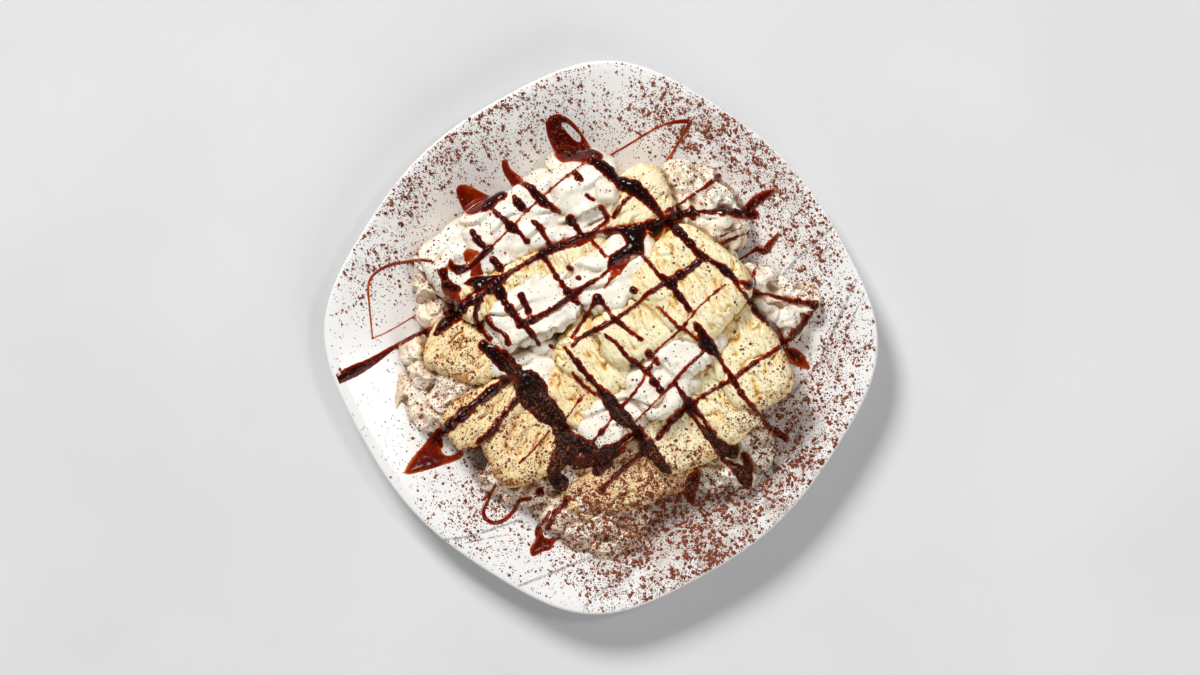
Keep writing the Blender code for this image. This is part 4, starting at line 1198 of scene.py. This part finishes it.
print("marks under sauce:", [int((outline_of(sheet) > 0).sum()) for sheet in (sheet_on_plate, sheet_on_food)])

# %% [markdown]
# Where the cocoa fell on thick sauce it soaked it up into a dark, granular crust, at the front of the
# heap and down its middle. Patches of (x, y, reach) say where, and the sauce is lumpy and dull there.

# %% Where the sauce is crusted with cocoa
CRUSTS = ((-34, -28, 9), (-24, -38, 9), (-17, -52, 8), (-22, -64, 9), (-5, -54, 8), (3, -58, 7), (4, -31, 4),
          (10, -39, 5), (24, -55, 7), (31, -63, 7), (45, -76, 7), (54, -49, 4), (62, -54, 6), (69, -67, 6),
          (-43, -16, 5), (-10, -65, 9))


def left_bare(x, y, patches, share=1.0, power=1):
    """What soft round patches leave bare. A patch's own share, where it has one, comes fourth."""
    bare = np.ones_like(x)
    for px, py, reach, *given in patches:
        far = ((x - px) ** 2 + (y - py) ** 2) / reach ** 2
        bare *= 1.0 - (given[0] if given else share) * np.exp(-far ** power)
    return bare


def crust_share(x, y):
    return 1.0 - left_bare(x, y, CRUSTS, power=2)


print("crusted patches:", len(CRUSTS))

# %% [markdown]
# The sheet becomes a mesh in four steps. Small grids are laid where there is sauce, and points with
# no sauce beside them are deleted. The whole is extruded to get a back. The outermost points move onto
# the outline. Then the front is lifted off the surface below it by the rise, and the back pushed in.

# %% Turn a sheet into a mesh
TILE = 50
ROOT = 0.8
LIFT = 0.08
EDGE_REACH = 0.25
THICK_ENOUGH = 0.8
STAIN_REACH = 1.0


def flat_sauce(deep):
    """A closed flat mesh over all marks inside; its attribute front is 1 on the upper side."""
    bm = bmesh.new()
    inside = bm.verts.layers.float.new("inside")
    front = bm.verts.layers.float.new("front")
    for row in range(0, len(SHEET_MARKS) - TILE, TILE):
        for column in range(0, len(SHEET_MARKS) - TILE, TILE):
            if deep[row:row + TILE + 1, column:column + TILE + 1].max() <= 0.0:
                continue
            half = TILE * SHEET_STEP / 2.0
            centre = Vector((SHEET_MARKS[column] + half, SHEET_MARKS[row] + half, 0.0))
            verts = bmesh.ops.create_grid(bm, x_segments=TILE, y_segments=TILE, size=half,
                                          matrix=Matrix.Translation(centre))["verts"]
            for vertex in verts:
                i, j = (round((w + GRID_HALF) / SHEET_STEP) for w in (vertex.co.y, vertex.co.x))
                vertex[inside] = deep[i, j]
            idle = [vertex for vertex in verts if vertex[inside] < -1.5 * SHEET_STEP]
            bmesh.ops.delete(bm, geom=idle, context="VERTS")
    bmesh.ops.remove_doubles(bm, verts=bm.verts, dist=0.01)
    spare = [face for face in bm.faces if all(vertex[inside] <= 0.0 for vertex in face.verts)]
    bmesh.ops.delete(bm, geom=spare, context="FACES")
    bmesh.ops.delete(bm, geom=[vertex for vertex in bm.verts if not vertex.link_faces], context="VERTS")
    made = bmesh.ops.extrude_face_region(bm, geom=bm.faces[:])["geom"]
    for vertex in (item for item in made if isinstance(item, bmesh.types.BMVert)):
        vertex[front] = 1.0
    bmesh.ops.recalc_face_normals(bm, faces=bm.faces)
    mesh = bpy.data.meshes.new("sauce")
    bm.to_mesh(mesh)
    bm.free()
    return mesh


def read_values(mesh, name):
    values = np.empty(len(mesh.vertices))
    mesh.attributes[name].data.foreach_get("value", values)
    return values


def settle_edge(points, inside, deep):
    """Move the points that lie outside the sauce back along its slope, onto the outline."""
    down, across = (read_grid(slope, points[:, 0], points[:, 1], SHEET_STEP)
                    for slope in np.gradient(deep, SHEET_STEP))
    back = np.clip(inside / np.maximum(down ** 2 + across ** 2, 0.3), -1.5 * SHEET_STEP, 0.0)
    points[:, 0] -= back * across
    points[:, 1] -= back * down


def rise_of(sheet):
    """The rise at each mark: rounded, and brought down to nought at the outline."""
    deep = outline_of(sheet)
    rise = averaged(sheet["rise"], (0.25, 0.5, 0.25)) * np.clip(deep / EDGE_REACH, 0.0, 1.0)
    return np.maximum(rise, 0.35 * np.clip(deep, 0.0, 0.6))


def thickness_at(x, y, inside, sheet, crust):
    """How thick the sauce is at each point: a little uneven, and lumpy under a crust."""
    thickness = np.where(inside > 0.0, read_grid(rise_of(sheet), x, y, SHEET_STEP), 0.0)
    uneven = np.array([noise.noise(Vector((px, py, 3.0)) / 2.4) for px, py in zip(x, y)])
    grains = np.array([noise.voronoi(Vector((px, py, 0.0)) / 1.1)[0][0] for px, py in zip(x, y)])
    thickness *= 1.0 + 0.15 * uneven
    thickness += crust * np.where(inside > 0.3, 0.55 - grains, 0.0) * 0.7
    return thickness


def away_from_surface(x, y):
    """The direction that points away from the smoothed surface."""
    slopes = [-read_grid(slope, x, y) for slope in (slope_across, slope_down)]
    normal = np.stack([*slopes, np.ones_like(x)], axis=1)
    return normal / np.linalg.norm(normal, axis=1)[:, None]


print("the back of the sauce is", ROOT, "mm under the surface")

# %% Pour the sauce
def pour(name, sheet):
    deep = outline_of(sheet)
    mesh = flat_sauce(deep)
    mesh.name = name
    points = read_points(mesh) * MM
    inside, front = read_values(mesh, "inside"), read_values(mesh, "front") > 0.5
    settle_edge(points, inside, deep)
    x, y = points[:, 0].copy(), points[:, 1].copy()
    crust = crust_share(x, y) if name.endswith("food") else np.zeros_like(x)
    thickness = thickness_at(x, y, inside, sheet, crust)
    thick = np.clip(thickness / THICK_ENOUGH, 0.0, 1.0)
    points[:, 2] = (1.0 - thick) * read_grid(bridged, x, y) + thick * read_grid(smoothed, x, y)
    points += away_from_surface(x, y) * np.where(front, LIFT + thickness, -ROOT)[:, None]
    write_points(mesh, points)
    store(mesh, "depth", np.where(front, thickness, 0.0))
    store(mesh, "crust", crust)
    print(name, len(mesh.polygons), "faces")
    return new_object(name, mesh)


for piece in food.values():
    x, y = read_points(piece.data)[:, :2].T
    near = np.maximum(*(read_grid(outline_of(sheet), x, y, SHEET_STEP)
                        for sheet in (sheet_on_plate, sheet_on_food)))
    store(piece.data, "stain", np.clip(1.0 + near / STAIN_REACH, 0.0, 1.0))
slope_down, slope_across = np.gradient(smoothed, GRID_STEP)
sauce_on_plate = pour("sauce_on_plate", sheet_on_plate)
sauce_on_food = pour("sauce_on_food", sheet_on_food)

# %% [markdown]
# How light comes through sauce depends on how much of it there is: thin edges glow orange, a strand
# is red-brown and a pool nearly black. So the colour follows the depth that each point has kept.

# %% The finish of the sauce
def sauce_material():
    material, shader, place = start_material("chocolate_sauce", IOR=1.4, Specular_IOR_Level=0.25)
    depth = place.kept("depth")
    crust = place.kept("crust")
    broad = place.cloud(60.0, 2.0)
    uneven = place.cloud(220.0, 3.0)
    seen = depth * 0.55 + (broad - 0.5) * 0.6 + (uneven - 0.5) * 0.25
    stops = [(0.0, shown(188, 86, 24)), (0.07, shown(154, 46, 6)), (0.17, shown(118, 22, 2)),
             (0.34, shown(80, 10, 2)), (0.58, shown(42, 5, 3)), (0.95, shown(18, 4, 3))]
    tone = seen.node("ShaderNodeValToRGB", {"stops": stops}, {"Fac": seen})
    grain = place.node("ShaderNodeTexVoronoi", None, {"Vector": place, "Scale": 1100.0}, "Color")
    luck = grain.node("ShaderNodeSeparateColor", None, {0: grain})
    crumbs = luck.step(0.5, 1.0).mix(shown(16, 4, 2), shown(104, 52, 36))
    link((crust * 0.85).mix(tone, crumbs), shader, "Base Color")
    link(crust * 0.45 + 0.13, shader, "Roughness")
    return material


sauce_finish = sauce_material()
finish_piece(sauce_on_plate, sauce_finish, "chocolate_sauce")
finish_piece(sauce_on_food, sauce_finish, "chocolate_sauce")
print("sauce finish:", len(sauce_finish.node_tree.nodes), "nodes")

# %% [markdown]
# Cocoa was sieved over the plate from the front, so it lies thick there and thin over the middle of
# the heap. Where it fell is given as soft round patches: (x, y, reach, share of the surface). It left
# other patches nearly clean, which are (x, y, reach).

# %% Where the cocoa lies
COCOA = (
    (0, 0, 400, 0.018), (-98, 67, 26, 0.26), (-60, 98, 28, 0.26), (-112, 30, 18, 0.2), (-20, 117, 20, 0.16),
    (22, 110, 22, 0.24), (52, 100, 24, 0.34), (80, 75, 28, 0.32), (105, 40, 26, 0.26), (112, -8, 24, 0.24),
    (95, -52, 30, 0.38), (62, -85, 32, 0.5), (30, -92, 28, 0.42), (8, -110, 24, 0.24), (-8, -88, 20, 0.24),
    (12, -68, 22, 0.12), (-60, -85, 24, 0.2), (-38, -58, 22, 0.18), (-70, -28, 22, 0.16),
    (-84, 24, 14, 0.22), (-72, -5, 12, 0.2),
)
CLEAN = ((-72, 52, 22), (-45, 78, 14), (18, 87, 17), (-92, 10, 18), (2, 130, 12), (60, 58, 16),
         (84, 16, 17), (66, -57, 12))
CLEANED = 0.75


def cocoa_share(x, y):
    return (1.0 - left_bare(x, y, COCOA)) * left_bare(x, y, CLEAN, share=CLEANED)


for piece in (plate, *food.values()):
    spots = read_points(piece.data)
    store(piece.data, "dust", cocoa_share(spots[:, 0], spots[:, 1]))
print("share at the front:", cocoa_share(np.array([60.0]), np.array([-85.0])))

# %% [markdown]
# Sieved cocoa falls as dust, as grains and as damp clumps. A clump is a few flat crumbs side by side,
# and a crumb is a coarse ball with its points moved. A few such shapes are repeated, turned and sized
# thousands of times in one mesh for each kind, each crumb with its own tone.

# %% Repeat a crumb in one mesh
CRUMB_SHAPES = 8
FLATNESS = 0.55
BEDDING = 0.15


def crumb_shapes(make):
    """A few uneven copies of a ball: their points, and the faces that they share."""
    bm = bmesh.new()
    make(bm)
    ball = np.array([vertex.co[:] for vertex in bm.verts])
    faces = np.array([[vertex.index for vertex in face.verts] for face in bm.faces])
    bm.free()
    draw = np.random.default_rng(3)
    return ball * draw.uniform(0.6, 1.25, (CRUMB_SHAPES, len(ball), 1)), faces


def heap(name, spots, sizes, surface, make, draw):
    """One mesh of crumbs, each lying flat on the surface under its spot."""
    shapes, faces = crumb_shapes(make)
    angles = draw.uniform(0.0, 2.0 * math.pi, len(spots))
    points = shapes[draw.integers(CRUMB_SHAPES, size=len(spots))]
    cos, sin = np.cos(angles)[:, None], np.sin(angles)[:, None]
    x, y, z = points.transpose(2, 0, 1)
    points = np.stack([x * cos - y * sin, x * sin + y * cos, FLATNESS * z], axis=2) * sizes[:, None, None]
    height = read_grid(surface, spots[:, 0], spots[:, 1]) + BEDDING * sizes
    points += np.column_stack([spots, height])[:, None]
    count = points.shape[1]
    all_faces = (faces[None] + count * np.arange(len(spots))[:, None, None]).reshape(-1, 3)
    mesh = bpy.data.meshes.new(name)
    mesh.from_pydata(points.reshape(-1, 3) * MM, [], all_faces.tolist())
    store(mesh, "tone", np.repeat(draw.uniform(0.0, 1.0, len(spots)), count))
    print(name, len(spots), "crumbs,", len(all_faces), "faces")
    return new_object(name, mesh)


print("crumb shapes:", CRUMB_SHAPES)

# %% [markdown]
# A spot is drawn anywhere on the plate and kept by chance, more often where more cocoa fell. Two noises
# make the fall patchy. Every clump grows from one spot, crumb by crumb in any direction, and is longer
# where the cocoa lies thick.

# %% Scatter clumps, grains and dust
CRUMBS = 9900
GRAINS = 17000
SMALLEST_CRUMB = 0.34
LARGEST_CRUMB = 0.9
LIP_LEFT_BARE = 0.8


def seeds(draw, wanted, patchiness):
    """Spots on the plate where the sieve let cocoa through."""
    found = []
    while len(found) < wanted:
        x, y = draw.uniform(-PLATE_CORNER, PLATE_CORNER, 2)
        patch = (1.0 + patchiness * noise.noise(Vector((x, y, 0.0)) / 4.5)
                 + 0.9 * noise.noise(Vector((x, y, 5.0)) / 13.0))
        inside = np.hypot(x, y) < rim_reach(np.arctan2(y, x)) - 1.0
        if inside and draw.random() < 1.6 * cocoa_share(x, y) * patch:
            found.append((x, y))
    return np.array(found)


def clumps(draw):
    spots, sizes = [], []
    for x, y in seeds(draw, CRUMBS, 1.8):
        for _ in range(1 + int(draw.exponential(0.6 + 2.8 * cocoa_share(x, y)))):
            size = SMALLEST_CRUMB + (0.12 + 0.3 * cocoa_share(x, y)) * draw.exponential()
            spots.append((x, y))
            sizes.append(min(size, LARGEST_CRUMB))
            angle = draw.uniform(0.0, 2.0 * math.pi)
            x, y = x + 0.75 * size * math.cos(angle), y + 0.75 * size * math.sin(angle)
        if len(spots) >= CRUMBS:
            break
    reach = np.array([rim_reach(math.atan2(y, x)) - math.hypot(x, y) for x, y in spots])
    return np.array(spots)[reach > LIP_LEFT_BARE], np.array(sizes)[reach > LIP_LEFT_BARE]


draw = np.random.default_rng(11)
covered = height_grid([plate, *food.values(), sauce_on_plate, sauce_on_food])
spots, sizes = clumps(draw)
cocoa_clumps = heap("cocoa_clumps", spots, sizes, covered,
                    lambda bm: bmesh.ops.create_icosphere(bm, subdivisions=1, radius=1.0), draw)
loose = {}
for name, smallest, largest in (("cocoa_grains", 0.24, 0.46), ("cocoa_dust", 0.12, 0.26)):
    spots = seeds(draw, GRAINS, 1.0)
    loose[name] = heap(name, spots, draw.uniform(smallest, largest, len(spots)), covered,
                       lambda bm: bmesh.ops.create_uvsphere(bm, u_segments=4, v_segments=2, radius=1.0), draw)

# %% The finish of the cocoa
def cocoa_material():
    material, shader, place = start_material("cocoa", Roughness=0.9, Specular_IOR_Level=0.2)
    tone = place.kept("tone")
    link(tone.mix(shown(112, 50, 29), shown(160, 86, 54)), shader, "Base Color")
    return material


cocoa_finish = cocoa_material()
for piece in (cocoa_clumps, *loose.values()):
    finish_piece(piece, cocoa_finish, "cocoa")
print("cocoa finish:", len(cocoa_finish.node_tree.nodes), "nodes")

# %% [markdown]
# Cream is nearly white and lets light in a little, ice cream is a pale warm yellow, and the banana slab
# is tan. Each is mixed towards its deep colour by the painted shade that its points keep, which deepens
# the ice cream in its cracks, and the deepest hollows get a dark brown painted shadow. Some low slabs are
# more golden: a darker copy that is partly painted shade, for the shade that they lie in. The cream at the
# front and at the left lies under more cocoa. All carry the finest cocoa dust, which is painted as specks
# and a thin film that grow with the share of cocoa there. Beside a strand of sauce the food is stained
# orange. The finest cracks are a bent wave across the stroke of the spoon, in the coordinates kept for it,
# and are darkened with painted shade. A finish is (lit colour, colour of full painted shade, colour under
# a film of cocoa, strength of the film, share of specks, roughness, strength of the cracks, strength of
# the grain).

# %% The finishes of the food
RIB_SPACING = 2.0
FINISHES = {
    "vanilla_ice_cream": ((255, 241, 200), (244, 200, 114), (228, 162, 92), 0.8, 0.9, 0.55, 0.7, 0.5),
    # A darker, more golden copy of the vanilla, partly painted shade for low slabs in the heap's shade.
    "golden_shaded_ice_cream": ((255, 230, 178), (226, 168, 88), (222, 152, 86), 0.8, 0.9, 0.55, 0.8, 0.5),
    "ribbed_ice_cream": ((255, 240, 198), (242, 196, 104), (228, 162, 92), 0.8, 0.9, 0.55, 1.0, 0.5),
    "whipped_cream": ((252, 245, 230), (224, 200, 166), (244, 208, 174), 0.5, 0.9, 0.4, 0.0, 0.1),
    "dusted_cream": ((254, 240, 220), (220, 186, 152), (232, 168, 122), 0.4, 1.4, 0.4, 0.0, 0.1),
    "banana_flesh": ((255, 222, 174), (226, 160, 100), (214, 140, 84), 0.3, 1.8, 0.6, 0.7, 0.5),
}


def food_material(name, bright, deep, dusted, film, dots, roughness, crack, grain):
    material, shader, place = start_material(name, Roughness=roughness, Subsurface_Weight=0.3,
                                             Subsurface_Scale=0.0025, IOR=1.35,
                                             Subsurface_Radius=(1.0, 0.65, 0.3))
    hollow, dust, stain = (place.kept(value) for value in ("hollow", "dust", "stain"))
    stroke = place.kept("stroke", "Vector")
    across = stroke.node("ShaderNodeSeparateXYZ", None, {0: stroke}, "Y")
    bend = stroke.cloud(0.16, 3.0)
    wave = across * (2.0 * math.pi / RIB_SPACING) + bend * 16.0
    torn = wave.math("SINE", wave).step(0.6, 1.0)
    soft = place.cloud(130.0, 3.0)
    torn = torn * soft.step(0.38, 0.55) * crack
    # Painted shade: the tone runs from the lit colour to the deep colour with the kept shade, a noise and the
    # cracks.
    tone = (hollow + (soft - 0.5) * 0.4 + torn * 0.25).step(0.0, 1.0)
    tone = tone.mix(shown(*bright), shown(*deep))
    # Painted shade in the finest cracks.
    tone = (torn.step(0.3, 1.0) * 0.5).mix(tone, shown(196, 150, 84))
    # Painted shadow: the deepest hollows between pieces turn dark brown.
    tone = (hollow.step(0.75, 1.0) * 0.6).mix(tone, shown(128, 88, 52))
    patch = place.cloud(260.0, 3.0)
    tone = (dust * film * patch.step(0.3, 0.7)).step(0.0, 0.5).mix(tone, shown(*dusted))
    run = place.cloud(60.0, 2.0)
    stained = stain * soft.step(0.35, 0.6) * run.step(0.48, 0.62)
    tone = stained.step(0.1, 1.1).mix(tone, shown(206, 116, 46))
    link(specks(place, 0.9, dust * dots).mix(tone, shown(112, 54, 28)), shader, "Base Color")
    fine = place.cloud(700.0, 2.0)
    bump = fine.node("ShaderNodeBump", None, {"Strength": 0.6, "Distance": 0.0004,
                                              "Height": fine * grain - torn})
    link(bump, shader, "Normal")
    return material


finishes = {name: food_material(name, *values) for name, values in FINISHES.items()}
print("a rib is", RIB_SPACING, "mm wide")

# %% [markdown]
# The first word of a piece's name tells its kind, and the kind its usual finish.
# A few pieces have a finish of their own.

# %% Dress the food
USUAL = {"ice": "vanilla_ice_cream", "cream": "whipped_cream", "banana": "banana_flesh"}
# These low slabs get the darker golden copy, which is partly painted shade for the shade that they lie in.
GOLDEN_SHADED = ("ice_cream_left", "ice_cream_lower_left", "ice_cream_front_left", "ice_cream_centre_low")
DUSTED = ("cream_left", "cream_left_edge", "cream_front", "cream_front_left")

own = {"ice_cream_strip": "ribbed_ice_cream", **dict.fromkeys(GOLDEN_SHADED, "golden_shaded_ice_cream"),
       **dict.fromkeys(DUSTED, "dusted_cream")}
for name, piece in food.items():
    slot = USUAL[name.split("_")[0]]
    finish_piece(piece, finishes[own.get(name, slot)], slot, name)
print(len(food), "pieces of food dressed")

# %% [markdown]
